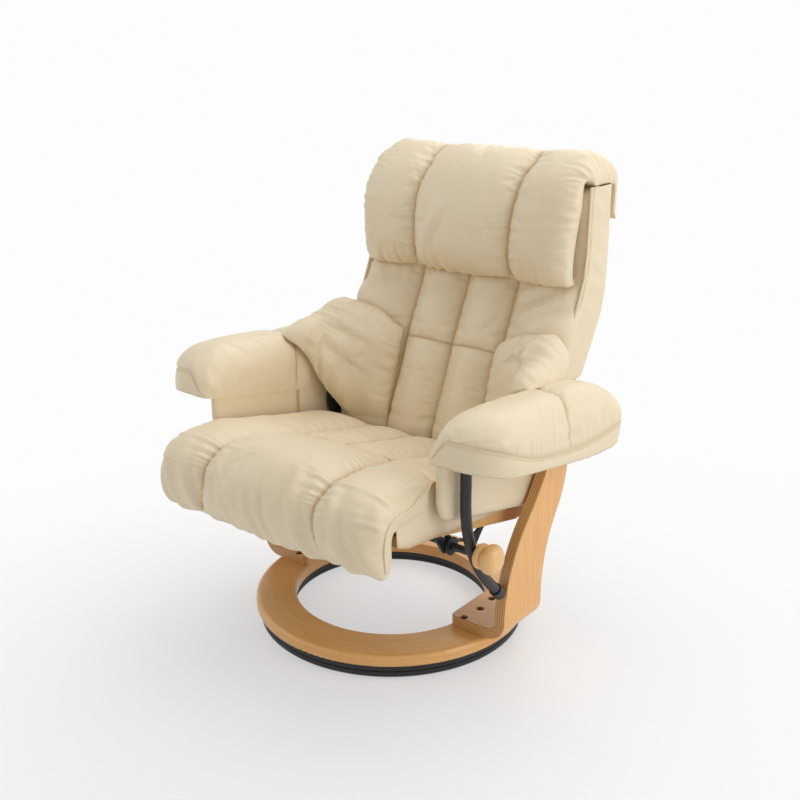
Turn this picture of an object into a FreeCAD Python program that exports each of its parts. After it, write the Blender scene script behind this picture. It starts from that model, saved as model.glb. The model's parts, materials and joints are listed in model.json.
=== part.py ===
# Swivel recliner with tension clamps: bent beech legs on a turntable ring, curved steel arm tubes,
# leather upholstery on a steel back frame and a wooden seat frame.
# Millimetres, +Z up, the sitter faces -Y, +X is the sitter's left. The origin lies on the floor,
# on the axis of the swivel.
import FreeCAD
import Part
import Sketcher
import math
import os
from FreeCAD import Placement, Rotation, Vector

DOC = FreeCAD.newDocument("recliner")

# Driving dimensions, all in millimetres but the angles, which are in degrees, and the counts.
SIZES = {
    # turntable and wooden ring
    "pad_height": 3, "pad_radius": 12, "pad_count": 8,
    "table_outer": 300, "table_inner": 225, "floor_ring_thick": 12, "table_gap": 2,
    "carrier_thick": 15, "table_edge": 2,
    "race_radius": 262, "race_width": 24, "roller_radius": 5, "roller_length": 12,
    "roller_count": 12, "roller_play": 0.1, "cage_width": 20, "cage_thick": 3, "cage_play": 0.4,
    "clip_count": 4, "clip_thick": 2, "clip_width": 24, "clip_reach": 14, "clip_play": 1,
    "rebate_height": 5, "rebate_depth": 16,
    "ring_outer": 310, "ring_inner": 219, "ring_thick": 26, "ring_round": 11, "ring_edge": 4,
    "screw_count": 8, "screw_circle": 287, "screw_radius": 2.5, "screw_head": 5,
    "screw_head_high": 3, "screw_length": 27, "fastener_play": 0.05,
    # bent plywood legs
    "ply": 24, "leg_out": 350, "leg_bend": 46, "foot_in": 212, "foot_front": 61,
    "foot_rear": 83, "foot_corner": 14, "leg_edge": 2.5,
    "leg_front_rise": 54, "leg_front_bow": 300, "leg_front_lean": 42, "leg_top_lean": 26,
    "leg_front_neck": 25, "leg_rear_rise": 72, "leg_rear_bow": 300, "leg_rear_lean": 34,
    "leg_rear_neck": 34,
    "foot_bolt_circle": 249, "foot_bolt_angle": 12, "bolt_radius": 4, "bolt_head": 6.5,
    "bolt_head_high": 8, "bolt_sink": 12, "bolt_sink_radius": 8.5, "bolt_length": 32,
    # arms
    "arm_in": 297, "arm_out": 450, "arm_front": 272, "arm_front_height": 512.5, "arm_tilt": 9,
    "arm_length": 528, "arm_nose": 42, "arm_nose_run": 105, "arm_crown_front": 106,
    "arm_crown_rear": 128, "arm_tail_run": 95, "arm_tail": 44,
    "arm_nose_bow": 110, "arm_crown_bow": 900, "arm_tail_bow": 110,
    "arm_corner": 25, "arm_front_corner": 72, "arm_rear_corner": 76, "arm_soft": 20,
    "board_in": 301, "board_out": 438, "board_front": 30, "board_rear": 480, "board_thick": 15,
    "board_inset": 10, "board_corner": 55, "soft_play": 0.3,
    "panel_thick": 20, "panel_front_low": 229, "panel_front_top": 240, "panel_low_front": 387,
    "panel_low_rear": 296, "panel_rear": 152, "panel_corner": 12,
    # arm tubes and their collars
    "tube_x": 338, "tube_radius": 11, "tube_front": 190.93, "tube_bend_height": 429,
    "tube_bend": 300, "tube_turn": 44, "tube_tail": 38, "tube_plate_long": 70,
    "tube_plate_wide": 32, "tube_plate_thick": 4, "collar_radius": 13.5, "collar_length": 12,
    # recline pivots
    "pivot_y": 130, "pivot_z": 430, "pivot_pin": 6, "pin_play": 0.05, "pivot_head": 11,
    "pivot_head_thick": 6, "pivot_boss": 13, "pivot_plate_long": 70, "pivot_plate_wide": 46,
    "pivot_in_leg": 18, "side_play": 0.3,
    # tension clamps and knobs
    "rod_z": 307, "rod_radius": 5, "rod_in": 228, "rod_out": 390,
    "disc_radius": 17, "disc_thick": 3, "washer_radius": 19, "washer_thick": 2.5,
    "nut_radius": 9, "nut_thick": 8, "sleeve_radius": 8, "rod_play": 0.3,
    "knob_gap": 0.3, "knob_washer": 2, "knob_washer_radius": 10, "knob_hub": 17,
    "knob_neck": 21, "knob_neck_at": 17, "knob_length": 49, "knob_tip": 16,
    "knob_lobe_bow": 9, "knob_big_lobe_bow": 17,
    # back
    "back_lean": 29.4, "back_foot_y": 183.5, "back_foot_z": 305, "back_bend_height": 640,
    "back_bend": 250, "back_top": 960, "panel_skin": 8, "panel_half": 284,
    "frame_x": 277, "frame_radius": 11, "frame_foot": 372, "bow_corner": 60,
    "cross_radius": 8, "cross_low": 470, "cross_high": 800, "bow_drop": 2,
    "hanger_in": 287, "hanger_thick": 5, "hanger_margin": 20, "hanger_top": 530,
    "hanger_corner": 11, "back_panel_foot": 345,
    "strap_wide": 50, "strap_thick": 1.5, "strap_low": 400, "strap_waist": 595,
    "strap_low_count": 4, "strap_chest": 800, "strap_high": 880, "strap_high_count": 2,
    "back_half_low": 279, "back_half_high": 296, "back_return_in": 288.5,
    "back_return_lap": 10,
    "back_soft_foot_y": 128, "back_soft_foot_z": 350, "back_soft_belly_y": 165,
    "back_soft_belly_z": 462, "back_soft_bend_y": 240, "back_soft_bend_z": 655,
    "back_soft_neck_y": 286, "back_soft_neck_z": 740, "back_soft_top_y": 304,
    # wings; their heights from the waist up are above the arm's front edge
    "wing_in": 150, "wing_out": 352, "wing_foot_z": 432, "wing_waist_y": 74,
    "wing_waist_z": 27.5, "wing_nose_y": 25, "wing_nose_z": 94.5, "wing_brow_y": 52,
    "wing_brow_z": 129.5, "wing_high": 151.5, "wing_low": 79.5, "wing_lap": 104,
    "wing_rear": 300, "wing_cheek_y": 165, "wing_cheek_x": 292, "wing_slope": 84,
    "wing_bow": 104, "wing_seam_z": 99.5, "wing_crest_bow": 150, "wing_soft": 6,
    "head_half": 292, "head_low_y": 262, "head_low_z": 744, "head_chin_y": 234,
    "head_chin_z": 800, "head_brow_y": 248, "head_brow_z": 905, "head_top_y": 378,
    "head_top_z": 1032, "head_rear_y": 432, "head_rear_z": 985, "head_flap_z": 880,
    "head_bow": 170, "head_chin_bow": 60, "head_nape_bow": 62, "head_play": 2, "head_corner": 45,
    # seat
    "hinge_y": 165, "hinge_z": 305, "hinge_pin": 5, "hinge_head": 9, "hinge_head_thick": 5,
    "rail_out": 285, "rail_thick": 21, "rail_front": 325, "rail_front_low": 360,
    "rail_front_top": 383, "deck_fall": 5.4, "rail_low_front_y": 262, "rail_low_front_z": 352,
    "rail_low_rear_y": 73, "rail_low_rear_z": 279, "rail_deck_rear": 125, "rail_end": 19,
    "rail_corner": 15, "cross_rail_thick": 20, "rear_rail_y": 92, "rear_rail_low": 300,
    "seat_strap_count": 6, "seat_strap_thick": 2, "seat_lip_front": 385,
    "seat_half": 285, "seat_front_half": 303, "seat_shoulder": 264, "seat_front": 425,
    "seat_front_low": 350, "seat_front_high": 425, "seat_lip_low": 312, "seat_lip_rear": 333,
    "seat_nose_y": 372, "seat_nose_z": 478, "seat_thigh_y": 300, "seat_thigh_z": 486,
    "seat_dip_y": 60, "seat_dip_z": 430, "seat_rear": 115, "seat_rear_z": 392,
    "seat_nose_bow": 75, "seat_lip_bow": 45, "seat_corner": 58, "seat_soft": 16,
    # slotted slide rails
    "slide_out": 285, "slide_thick": 5, "slide_foot": 3, "slide_foot_in": 267,
    "slide_margin": 14, "slide_tail": 23, "slide_front": 215, "slide_front_wide": 22,
    "slide_rear": 48, "slide_rear_wide": 14,
    # travel
    "recline": 28, "seat_share_of_tilt": 0.2,
    # cuts run past the wood by this
    "overrun": 20,
}


class Size:
    """A length, angle or count with its value and its formula in the cells of the sheet."""

    def __init__(self, value, text):
        self.value = value
        self.text = text

    def __add__(self, other):
        return Size(self.value + number(other), "(%s + %s)" % (self.text, formula(other)))

    def __sub__(self, other):
        return Size(self.value - number(other), "(%s - %s)" % (self.text, formula(other)))

    def __mul__(self, other):
        return Size(self.value * number(other), "%s * %s" % (self.text, formula(other)))

    def __truediv__(self, other):
        return Size(self.value / number(other), "%s / (%s)" % (self.text, formula(other)))

    def __neg__(self):
        return Size(-self.value, "(-%s)" % self.text)

    def __int__(self):
        return int(round(self.value))

    def sin(self):
        return Size(math.sin(math.radians(self.value)), "sin(%s)" % self.text)

    def cos(self):
        return Size(math.cos(math.radians(self.value)), "cos(%s)" % self.text)

    def tan(self):
        return Size(math.tan(math.radians(self.value)), "tan(%s)" % self.text)

    def root(self):
        return Size(math.sqrt(self.value), "sqrt(%s)" % self.text)


def number(item):
    return item.value if isinstance(item, Size) else item


def formula(item):
    return item.text if isinstance(item, Size) else repr(item)


class Sheet:
    """The sheet's cells by name."""


def make_sheet():
    cells = DOC.addObject("Spreadsheet::Sheet", "Sizes")
    names = Sheet()
    for row, (alias, value) in enumerate(SIZES.items(), 1):
        cells.set("A%d" % row, str(value))
        cells.setAlias("A%d" % row, alias)
        setattr(names, alias, Size(value, "Sizes." + alias))
    DOC.recompute()
    return names


d = make_sheet()
PARTS = []
SIDES = (("left", 1), ("right", -1))


# Sketches and features

def make_body(label):
    body = DOC.addObject("PartDesign::Body", label)
    body.Label = label
    PARTS.append(body)
    return body


def place(thing, x=None, y=None, z=None):
    for axis, size in (("x", x), ("y", y), ("z", z)):
        if size is not None:
            thing.setExpression(".Placement.Base." + axis, size.text)


def sketch_on(body, role, name, shift=None):
    sketch = body.newObject("Sketcher::SketchObject", body.Name + "_" + name)
    plane = [item for item in body.Origin.OriginFeatures if item.Role == role]
    sketch.AttachmentSupport = [(plane[0], "")]
    sketch.MapMode = "FlatFace"
    if shift is not None:
        sketch.AttachmentOffset = Placement(Vector(0, 0, shift.value), Rotation())
        sketch.setExpression("AttachmentOffset.Base.z", shift.text)
    return sketch


def fix(sketch, axis, geometry, point, size):
    """Hold a point at a distance from the sketch's origin, by formula where it has one."""
    line = {"X": -2, "Y": -1}[axis]
    if number(size) == 0:
        sketch.addConstraint(Sketcher.Constraint("PointOnObject", geometry, point, line))
        return
    index = sketch.addConstraint(
        Sketcher.Constraint("Distance" + axis, -1, 1, geometry, point, number(size)))
    if isinstance(size, Size):
        sketch.setExpression("Constraints[%d]" % index, size.text)


def fix_radius(sketch, geometry, size):
    index = sketch.addConstraint(Sketcher.Constraint("Radius", geometry, number(size)))
    if isinstance(size, Size):
        sketch.setExpression("Constraints[%d]" % index, size.text)


def arc_between(start, end, radius):
    """Arc of less than half a turn; it bulges to the left of the walk where radius is positive."""
    chord = end - start
    half = chord.Length / 2
    across = Vector(-chord.y, chord.x, 0).normalize()
    depth = math.sqrt(max(radius * radius - half * half, 0))
    turn = 1 if radius > 0 else -1
    centre = (start + end) / 2 - across * depth * turn
    first, last = (end, start) if turn > 0 else (start, end)
    angles = [math.atan2(point.y - centre.y, point.x - centre.x) for point in (first, last)]
    return Part.ArcOfCircle(Part.Circle(centre, Vector(0, 0, 1), abs(radius)), *angles)


def outline(sketch, points, closed=True):
    """Walk through the points; a third item is the radius of the arc that arrives there."""
    count = len(points)
    spots = [Vector(number(point[0]), number(point[1]), 0) for point in points]
    ends = []
    first_leg = 0 if closed else 1
    for index in range(first_leg, count):
        start, end = spots[index - 1], spots[index]
        if len(points[index]) > 2:
            radius = points[index][2]
            item = sketch.addGeometry(arc_between(start, end, number(radius)), False)
            ends.append((item, 2, 1) if number(radius) > 0 else (item, 1, 2))
            fix_radius(sketch, item, radius if number(radius) > 0 else -radius)
        else:
            item = sketch.addGeometry(Part.LineSegment(start, end), False)
            ends.append((item, 1, 2))
    for index, (item, _, finish) in enumerate(ends):
        point = points[index + first_leg]
        fix(sketch, "X", item, finish, point[0])
        fix(sketch, "Y", item, finish, point[1])
        if closed or index + 1 < len(ends):
            following, start, _ = ends[(index + 1) % len(ends)]
            sketch.addConstraint(Sketcher.Constraint("Coincident", item, finish, following, start))
    if not closed:
        fix(sketch, "X", ends[0][0], ends[0][1], points[0][0])
        fix(sketch, "Y", ends[0][0], ends[0][1], points[0][1])


def circle(sketch, x, y, radius):
    spot = Vector(number(x), number(y), 0)
    item = sketch.addGeometry(Part.Circle(spot, Vector(0, 0, 1), number(radius)), False)
    fix(sketch, "X", item, 3, x)
    fix(sketch, "Y", item, 3, y)
    fix_radius(sketch, item, radius)


def rectangle(sketch, x0, x1, y0, y1):
    outline(sketch, [(x0, y0), (x1, y0), (x1, y1), (x0, y1)])


def pad(body, sketch, length, side=1, both=False):
    feature = body.newObject("PartDesign::Pad", sketch.Name + "_pad")
    feature.Profile = sketch
    feature.setExpression("Length", length.text)
    feature.Reversed = side < 0
    feature.Midplane = both
    return feature


def pocket(body, sketch, depth=None, side=1):
    """Cut along the sketch's normal times side, or right through both ways."""
    feature = body.newObject("PartDesign::Pocket", sketch.Name + "_cut")
    feature.Profile = sketch
    if depth is None:
        feature.Type = "ThroughAll"
        feature.Midplane = True
    else:
        feature.setExpression("Length", depth.text)
        feature.Reversed = side > 0
    return feature


def revolve(body, sketch, axis):
    feature = body.newObject("PartDesign::Revolution", sketch.Name + "_turn")
    feature.Profile = sketch
    feature.ReferenceAxis = (sketch, [axis])
    feature.Angle = 360
    return feature


def pipe(body, profile, path):
    feature = body.newObject("PartDesign::AdditivePipe", path.Name + "_pipe")
    feature.Profile = profile
    feature.Spine = (path, [])
    return feature


def around(body, feature, count):
    """Repeat a feature about Z."""
    pattern = body.newObject("PartDesign::PolarPattern", feature.Name + "_ring")
    pattern.Originals = [feature]
    axis = [item for item in body.Origin.OriginFeatures if item.Role == "Z_Axis"]
    pattern.Axis = (axis[0], [""])
    pattern.Angle = 360
    pattern.setExpression("Occurrences", count.text)
    body.Tip = pattern
    return pattern


def soften(body, feature, radius, keep):
    """Fillet the edges of a feature that keep() picks."""
    DOC.recompute()
    names = ["Edge%d" % index for index, edge in enumerate(feature.Shape.Edges, 1) if keep(edge)]
    fillet = body.newObject("PartDesign::Fillet", feature.Name + "_round")
    fillet.Base = (feature, names)
    fillet.setExpression("Radius", radius.text)
    body.Tip = fillet
    return fillet


def along(edge, axis):
    """True for a straight edge along the axis, 0 for X, 1 for Y and 2 for Z."""
    if edge.Curve.TypeId != "Part::GeomLine":
        return False
    return abs(edge.Curve.Direction[axis]) > 1 - 1e-6


def flat_at(edge, axis, value):
    """True where the whole edge lies at value on the axis."""
    box = edge.BoundBox
    low = (box.XMin, box.YMin, box.ZMin)[axis]
    high = (box.XMax, box.YMax, box.ZMax)[axis]
    return abs(low - value) < 1e-3 and abs(high - value) < 1e-3


def repeated(label, shape, count, start=0):
    """A group of separate solids: copies of a shape turned about Z."""
    copies = []
    for index in range(count):
        turn = Rotation(Vector(0, 0, 1), start + 360 * index / count)
        copies.append(shape.transformed(Placement(Vector(), turn).toMatrix(), True))
    return group(label, copies)


def group(label, shapes):
    feature = DOC.addObject("Part::Feature", label)
    feature.Label = label
    feature.Shape = Part.makeCompound(shapes)
    PARTS.append(feature)
    return feature


def subtract(label, base, tool):
    cut = DOC.addObject("Part::Cut", label)
    cut.Label = label
    cut.Base = base
    cut.Tool = tool
    PARTS.append(cut)
    return cut


def rod(name, radius, length, spot, turn):
    """Part::Cylinder from a point, its axis turned from Z."""
    item = DOC.addObject("Part::Cylinder", name)
    item.setExpression("Radius", radius.text)
    item.setExpression("Height", length.text)
    item.Placement = Placement(Vector(), turn)
    place(item, *spot)
    return item


def make_turned(label, side, y, z, spots):
    """Turned piece about X: walk through X and radius, with arcs as in outline()."""
    body = make_body(label)
    place(body, None, y, z)
    section = sketch_on(body, "XZ_Plane", "section")
    outline(section, [
        (spot[0] * side, spot[1]) + tuple(bow * side for bow in spot[2:]) for spot in spots])
    revolve(body, section, "H_Axis")


# Turntable: a floor ring on felt pads, a caged roller race and a carrier ring under the wood

FLOOR_TOP = d.pad_height + d.floor_ring_thick
CARRIER_LOW = FLOOR_TOP + d.table_gap
RING_LOW = CARRIER_LOW + d.carrier_thick
RING_TOP = RING_LOW + d.ring_thick
RACE_IN = d.race_radius - d.race_width / 2
RACE_OUT = d.race_radius + d.race_width / 2
RACE_DEPTH = d.roller_radius + d.roller_play - d.table_gap / 2
RACE_MIDDLE = FLOOR_TOP + d.table_gap / 2
CLIP_FACE = d.table_inner - d.clip_play


def make_floor_ring():
    body = make_body("floor_ring")
    sketch = sketch_on(body, "XZ_Plane", "section")
    rebate = d.table_inner + d.rebate_depth
    ledge = d.pad_height + d.rebate_height
    outline(sketch, [
        (rebate, d.pad_height), (d.table_outer - d.table_edge, d.pad_height),
        (d.table_outer, d.pad_height + d.table_edge), (d.table_outer, FLOOR_TOP),
        (RACE_OUT, FLOOR_TOP), (RACE_OUT, FLOOR_TOP - RACE_DEPTH),
        (RACE_IN, FLOOR_TOP - RACE_DEPTH), (RACE_IN, FLOOR_TOP),
        (d.table_inner, FLOOR_TOP), (d.table_inner, ledge), (rebate, ledge)])
    revolve(body, sketch, "V_Axis")


def make_floor_pads():
    pad_shape = Part.makeCylinder(d.pad_radius.value, d.pad_height.value,
                                  Vector(d.race_radius.value, 0, 0))
    repeated("floor_pads", pad_shape, int(d.pad_count))


def make_cage():
    body = make_body("roller_cage")
    sketch = sketch_on(body, "XZ_Plane", "section")
    half = d.cage_thick / 2
    inner = d.race_radius - d.cage_width / 2
    outer = d.race_radius + d.cage_width / 2
    rectangle(sketch, inner, outer, RACE_MIDDLE - half, RACE_MIDDLE + half)
    revolve(body, sketch, "V_Axis")
    window = sketch_on(body, "XY_Plane", "window", RACE_MIDDLE)
    long = d.roller_length / 2 + d.cage_play
    wide = d.roller_radius + d.cage_play
    rectangle(window, d.race_radius - long, d.race_radius + long, -wide, wide)
    around(body, pocket(body, window), d.roller_count)


def make_rollers():
    start = Vector(d.race_radius.value - d.roller_length.value / 2, 0, RACE_MIDDLE.value)
    roller = Part.makeCylinder(d.roller_radius.value, d.roller_length.value, start, Vector(1, 0, 0))
    repeated("rollers", roller, int(d.roller_count))


def make_carrier():
    body = make_body("carrier_ring")
    sketch = sketch_on(body, "XZ_Plane", "section")
    outline(sketch, [
        (CLIP_FACE, CARRIER_LOW), (RACE_IN, CARRIER_LOW), (RACE_IN, CARRIER_LOW + RACE_DEPTH),
        (RACE_OUT, CARRIER_LOW + RACE_DEPTH), (RACE_OUT, CARRIER_LOW),
        (d.table_outer, CARRIER_LOW), (d.table_outer, RING_LOW - d.table_edge),
        (d.table_outer - d.table_edge, RING_LOW), (CLIP_FACE, RING_LOW)])
    revolve(body, sketch, "V_Axis")
    holes = sketch_on(body, "XY_Plane", "screw", RING_LOW)
    circle(holes, d.screw_circle, 0, d.screw_radius + d.fastener_play)
    around(body, pocket(body, holes), d.screw_count)
    heads = sketch_on(body, "XY_Plane", "head", CARRIER_LOW)
    circle(heads, d.screw_circle, 0, d.screw_head + d.fastener_play)
    around(body, pocket(body, heads, d.screw_head_high + d.fastener_play, 1), d.screw_count)


def make_carrier_screws():
    low = CARRIER_LOW.value + d.fastener_play.value
    at = Vector(d.screw_circle.value, 0, low)
    head = Part.makeCylinder(d.screw_head.value, d.screw_head_high.value, at)
    shank = Part.makeCylinder(d.screw_radius.value, d.screw_length.value, at)
    repeated("carrier_screws", head.fuse(shank).removeSplitter(), int(d.screw_count))


def make_clips():
    """Steel hooks on the carrier's inner wall that reach under the floor ring."""
    low = d.pad_height.value + d.clip_thick.value / 2
    face = CLIP_FACE.value
    thick, reach = d.clip_thick.value, d.clip_reach.value
    wide, top = d.clip_width.value, RING_LOW.value
    section = Part.makePolygon([
        Vector(face - thick, 0, low), Vector(face - thick + reach, 0, low),
        Vector(face - thick + reach, 0, low + thick), Vector(face, 0, low + thick),
        Vector(face, 0, top), Vector(face - thick, 0, top), Vector(face - thick, 0, low)])
    strip = Part.Face(section).extrude(Vector(0, wide, 0))
    strip.translate(Vector(0, -wide / 2, 0))
    wall = Part.makeCylinder(face, top - low, Vector(0, 0, low))
    upper = strip.common(wall)
    tab = strip.cut(wall)
    tab = tab.common(Part.makeBox(reach, wide, thick, Vector(face - thick, -wide / 2, low)))
    repeated("swivel_clips", upper.fuse(tab).removeSplitter(), int(d.clip_count),
             180 / int(d.clip_count))


def make_base_ring():
    body = make_body("base_ring")
    sketch = sketch_on(body, "XZ_Plane", "section")
    outline(sketch, [
        (d.ring_inner, RING_LOW), (d.ring_outer - d.ring_edge, RING_LOW),
        (d.ring_outer, RING_LOW + d.ring_edge, -d.ring_edge),
        (d.ring_outer, RING_TOP - d.ring_round),
        (d.ring_outer - d.ring_round, RING_TOP, -d.ring_round),
        (d.ring_inner + d.ring_edge, RING_TOP),
        (d.ring_inner, RING_TOP - d.ring_edge, -d.ring_edge)])
    revolve(body, sketch, "V_Axis")
    screws = sketch_on(body, "XY_Plane", "screw", RING_LOW)
    circle(screws, d.screw_circle, 0, d.screw_radius + d.fastener_play)
    depth = d.screw_length + d.fastener_play * 2 - d.carrier_thick
    around(body, pocket(body, screws, depth, 1), d.screw_count)
    for name, side in SIDES:
        bolts = sketch_on(body, "XY_Plane", "bolts_" + name, RING_TOP)
        for x, y in foot_bolt_spots(side):
            circle(bolts, x, y, d.bolt_radius + d.fastener_play)
        pocket(body, bolts, d.bolt_length + d.bolt_sink + d.fastener_play - d.ply, -1)


# Legs: bent beech plywood, a flat foot on the ring and a leaning blade up to the arm

def foot_bolt_spots(side):
    angle = d.foot_bolt_angle
    near = (d.foot_bolt_circle * angle.cos()) * side
    off = d.foot_bolt_circle * angle.sin()
    return [(near, -off), (d.foot_bolt_circle * side, 0), (near, off)]


def board_height(y):
    """Height of the underside of the arm board at a depth y."""
    rise = d.board_inset / d.arm_tilt.cos()
    return d.arm_front_height + rise - d.arm_tilt.tan() * (y + d.arm_front)


def leg_outline():
    """Side view, Y and Z: front and rear edges are arcs that lean back and straighten again.
    Each upper arc ends a neck below the board's underside, which sets its radius."""
    slope = d.arm_tilt.tan()
    front = -d.foot_front
    front_y = front + d.leg_front_bow * (-d.leg_front_lean.cos() + 1)
    front_z = RING_TOP + d.leg_front_rise + d.leg_front_bow * d.leg_front_lean.sin()
    over = d.leg_top_lean.cos() - d.leg_front_lean.cos()
    rise = d.leg_front_lean.sin() - d.leg_top_lean.sin()
    relax = (board_height(front_y) - d.leg_front_neck - front_z) / (rise + slope * over)
    upper_y = front_y + relax * over
    # the straight run on to the board's underside, found where the two lines cross
    run = d.leg_front_neck / (d.leg_top_lean.tan() * slope + 1)
    top_y = upper_y + run * d.leg_top_lean.tan()
    rear = d.foot_rear
    rear_y = rear + d.leg_rear_bow * (-d.leg_rear_lean.cos() + 1)
    rear_z = RING_TOP + d.leg_rear_rise + d.leg_rear_bow * d.leg_rear_lean.sin()
    rear_over = -d.leg_rear_lean.cos() + 1
    rear_relax = (board_height(rear_y) - d.leg_rear_neck - rear_z) / (
        d.leg_rear_lean.sin() + slope * rear_over)
    end_y = rear_y + rear_relax * rear_over
    return [
        (front, RING_TOP), (rear, RING_TOP), (rear, RING_TOP + d.leg_rear_rise),
        (rear_y, rear_z, d.leg_rear_bow),
        (end_y, rear_z + rear_relax * d.leg_rear_lean.sin(), -rear_relax),
        (end_y, board_height(end_y)), (top_y, board_height(top_y)),
        (upper_y, front_z + relax * rise), (front_y, front_z, relax),
        (front, RING_TOP + d.leg_front_rise, -d.leg_front_bow)]


def make_leg(name, side):
    body = make_body("leg_" + name)
    inner_bend = d.leg_bend - d.ply
    bend_x = d.leg_out - d.leg_bend
    bend_z = RING_TOP + d.leg_bend
    top = d.arm_front_height
    section = sketch_on(body, "XZ_Plane", "section", -d.leg_out)
    outline(section, [
        (d.foot_in * side, RING_TOP), (bend_x * side, RING_TOP),
        (d.leg_out * side, bend_z, d.leg_bend * -side), (d.leg_out * side, top),
        ((d.leg_out - d.ply) * side, top), ((d.leg_out - d.ply) * side, bend_z),
        (bend_x * side, RING_TOP + d.ply, inner_bend * side),
        (d.foot_in * side, RING_TOP + d.ply)])
    pad(body, section, d.leg_out * 2)
    trim = sketch_on(body, "YZ_Plane", "trim")
    rectangle(trim, -d.leg_out - d.overrun, d.leg_out + d.overrun, RING_TOP - d.overrun,
              top + d.overrun)
    outline(trim, leg_outline())
    blade = pocket(body, trim)
    blade = soften(body, blade, d.foot_corner,
                   lambda edge: along(edge, 2) and flat_at(edge, 0, d.foot_in.value * side))
    outer = d.leg_out.value * side
    inner = (d.leg_out.value - d.ply.value) * side
    foot_top = (RING_TOP + d.ply).value

    def blade_edge(edge):
        box = edge.BoundBox
        if box.ZMin < foot_top + d.leg_bend.value - d.ply.value - 1 or edge.Length < d.ply.value:
            return False
        if box.ZMax - box.ZMin < d.ply.value and box.ZMin > d.pivot_z.value:
            return False
        return flat_at(edge, 0, outer) or flat_at(edge, 0, inner)

    soften(body, blade, d.leg_edge, blade_edge)
    sinks = sketch_on(body, "XY_Plane", "sinks", RING_TOP + d.ply)
    holes = sketch_on(body, "XY_Plane", "holes", RING_TOP + d.ply)
    for x, y in foot_bolt_spots(side):
        circle(sinks, x, y, d.bolt_sink_radius)
        circle(holes, x, y, d.bolt_radius + d.fastener_play)
    pocket(body, sinks, d.bolt_sink, -1)
    pocket(body, holes, d.ply, -1)
    pin = sketch_on(body, "YZ_Plane", "pin", (d.leg_out - d.ply) * side)
    circle(pin, d.pivot_y, d.pivot_z, d.pivot_pin + d.fastener_play)
    pocket(body, pin, d.pivot_in_leg + d.fastener_play, side)
    return body


def make_foot_bolts(name, side):
    """Socket head bolts, sunk in the foot."""
    low = (RING_TOP + d.ply - d.bolt_sink).value
    bolts = []
    for x, y in foot_bolt_spots(side):
        spot = Vector(number(x), number(y), low)
        head = Part.makeCylinder(d.bolt_head.value, d.bolt_head_high.value, spot)
        shank = Part.makeCylinder(d.bolt_radius.value, d.bolt_length.value, spot, Vector(0, 0, -1))
        socket_top = spot + Vector(0, 0, d.bolt_head_high.value)
        hexagon = Part.makePolygon([
            socket_top + Vector(math.cos(turn), math.sin(turn), 0) * (d.bolt_head.value / 2)
            for turn in [math.radians(60 * corner) for corner in range(7)]])
        socket = Part.Face(hexagon).extrude(Vector(0, 0, -d.bolt_head_high.value / 2))
        bolts.append(head.fuse(shank).cut(socket).removeSplitter())
    group("foot_bolts_" + name, bolts)


# Arm tubes: bent steel, from the arm board down to the leg's front edge, with the clamp rod's
# hole on the middle line of the bend

ROD_DROP = d.tube_bend_height - d.rod_z
ROD_Y = d.tube_front - d.tube_bend + (d.tube_bend * d.tube_bend - ROD_DROP * ROD_DROP).root()


def tube_joint():
    """Where the arc of the tube ends, and its direction there."""
    bend = d.tube_bend
    joint_y = -d.tube_front + bend * (-d.tube_turn.cos() + 1)
    joint_z = d.tube_bend_height - bend * d.tube_turn.sin()
    return joint_y, joint_z


def tube_end():
    joint_y, joint_z = tube_joint()
    return (joint_y + d.tube_tail * d.tube_turn.sin(), joint_z - d.tube_tail * d.tube_turn.cos())


def make_arm_tube(name, side):
    body = make_body("arm_tube_" + name)
    joint_y, joint_z = tube_joint()
    end_y, end_z = tube_end()
    top = board_height(-d.tube_front)
    middle = d.tube_x * side
    path = sketch_on(body, "YZ_Plane", "path", middle)
    outline(path, [
        (-d.tube_front, top), (-d.tube_front, d.tube_bend_height),
        (joint_y, joint_z, -d.tube_bend), (end_y, end_z)], closed=False)
    ring = sketch_on(body, "XY_Plane", "ring", top)
    circle(ring, middle, -d.tube_front, d.tube_radius)
    pipe(body, ring, path)
    plate = sketch_on(body, "YZ_Plane", "plate", (d.tube_x - d.tube_plate_wide / 2) * side)
    before = -d.tube_front - d.tube_plate_long / 2
    behind = -d.tube_front + d.tube_plate_long / 2
    outline(plate, [
        (before, board_height(before) - d.tube_plate_thick),
        (behind, board_height(behind) - d.tube_plate_thick),
        (behind, board_height(behind)), (before, board_height(before))])
    pad(body, plate, d.tube_plate_wide, side)
    trim = sketch_on(body, "YZ_Plane", "trim")
    outline(trim, [
        (before - d.overrun, board_height(before - d.overrun)),
        (behind + d.overrun, board_height(behind + d.overrun)),
        (behind + d.overrun, top + d.tube_plate_long),
        (before - d.overrun, top + d.tube_plate_long)])
    pocket(body, trim)
    hole = sketch_on(body, "YZ_Plane", "hole")
    circle(hole, -ROD_Y, d.rod_z, d.rod_radius + d.fastener_play)
    pocket(body, hole)
    return body


def make_collar(name, side, leg):
    """Pressed steel collar on the tube's end, cut to the leg's front edge."""
    end_y, end_z = tube_end()
    collar = rod("collar_blank_" + name, d.collar_radius, d.collar_length * 2,
                 (d.tube_x * side, end_y, end_z),
                 Rotation(Vector(1, 0, 0), 180 + d.tube_turn.value))
    subtract("tube_collar_" + name, collar, leg)


# Arms: a plywood board inside a soft pad, and an upholstered panel towards the seat

def tilt_with_arm(thing):
    thing.Placement = Placement(Vector(), Rotation(Vector(-1, 0, 0), d.arm_tilt.value))
    thing.setExpression(".Placement.Rotation.Angle", d.arm_tilt.text)
    place(thing, None, -d.arm_front, d.arm_front_height)


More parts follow.
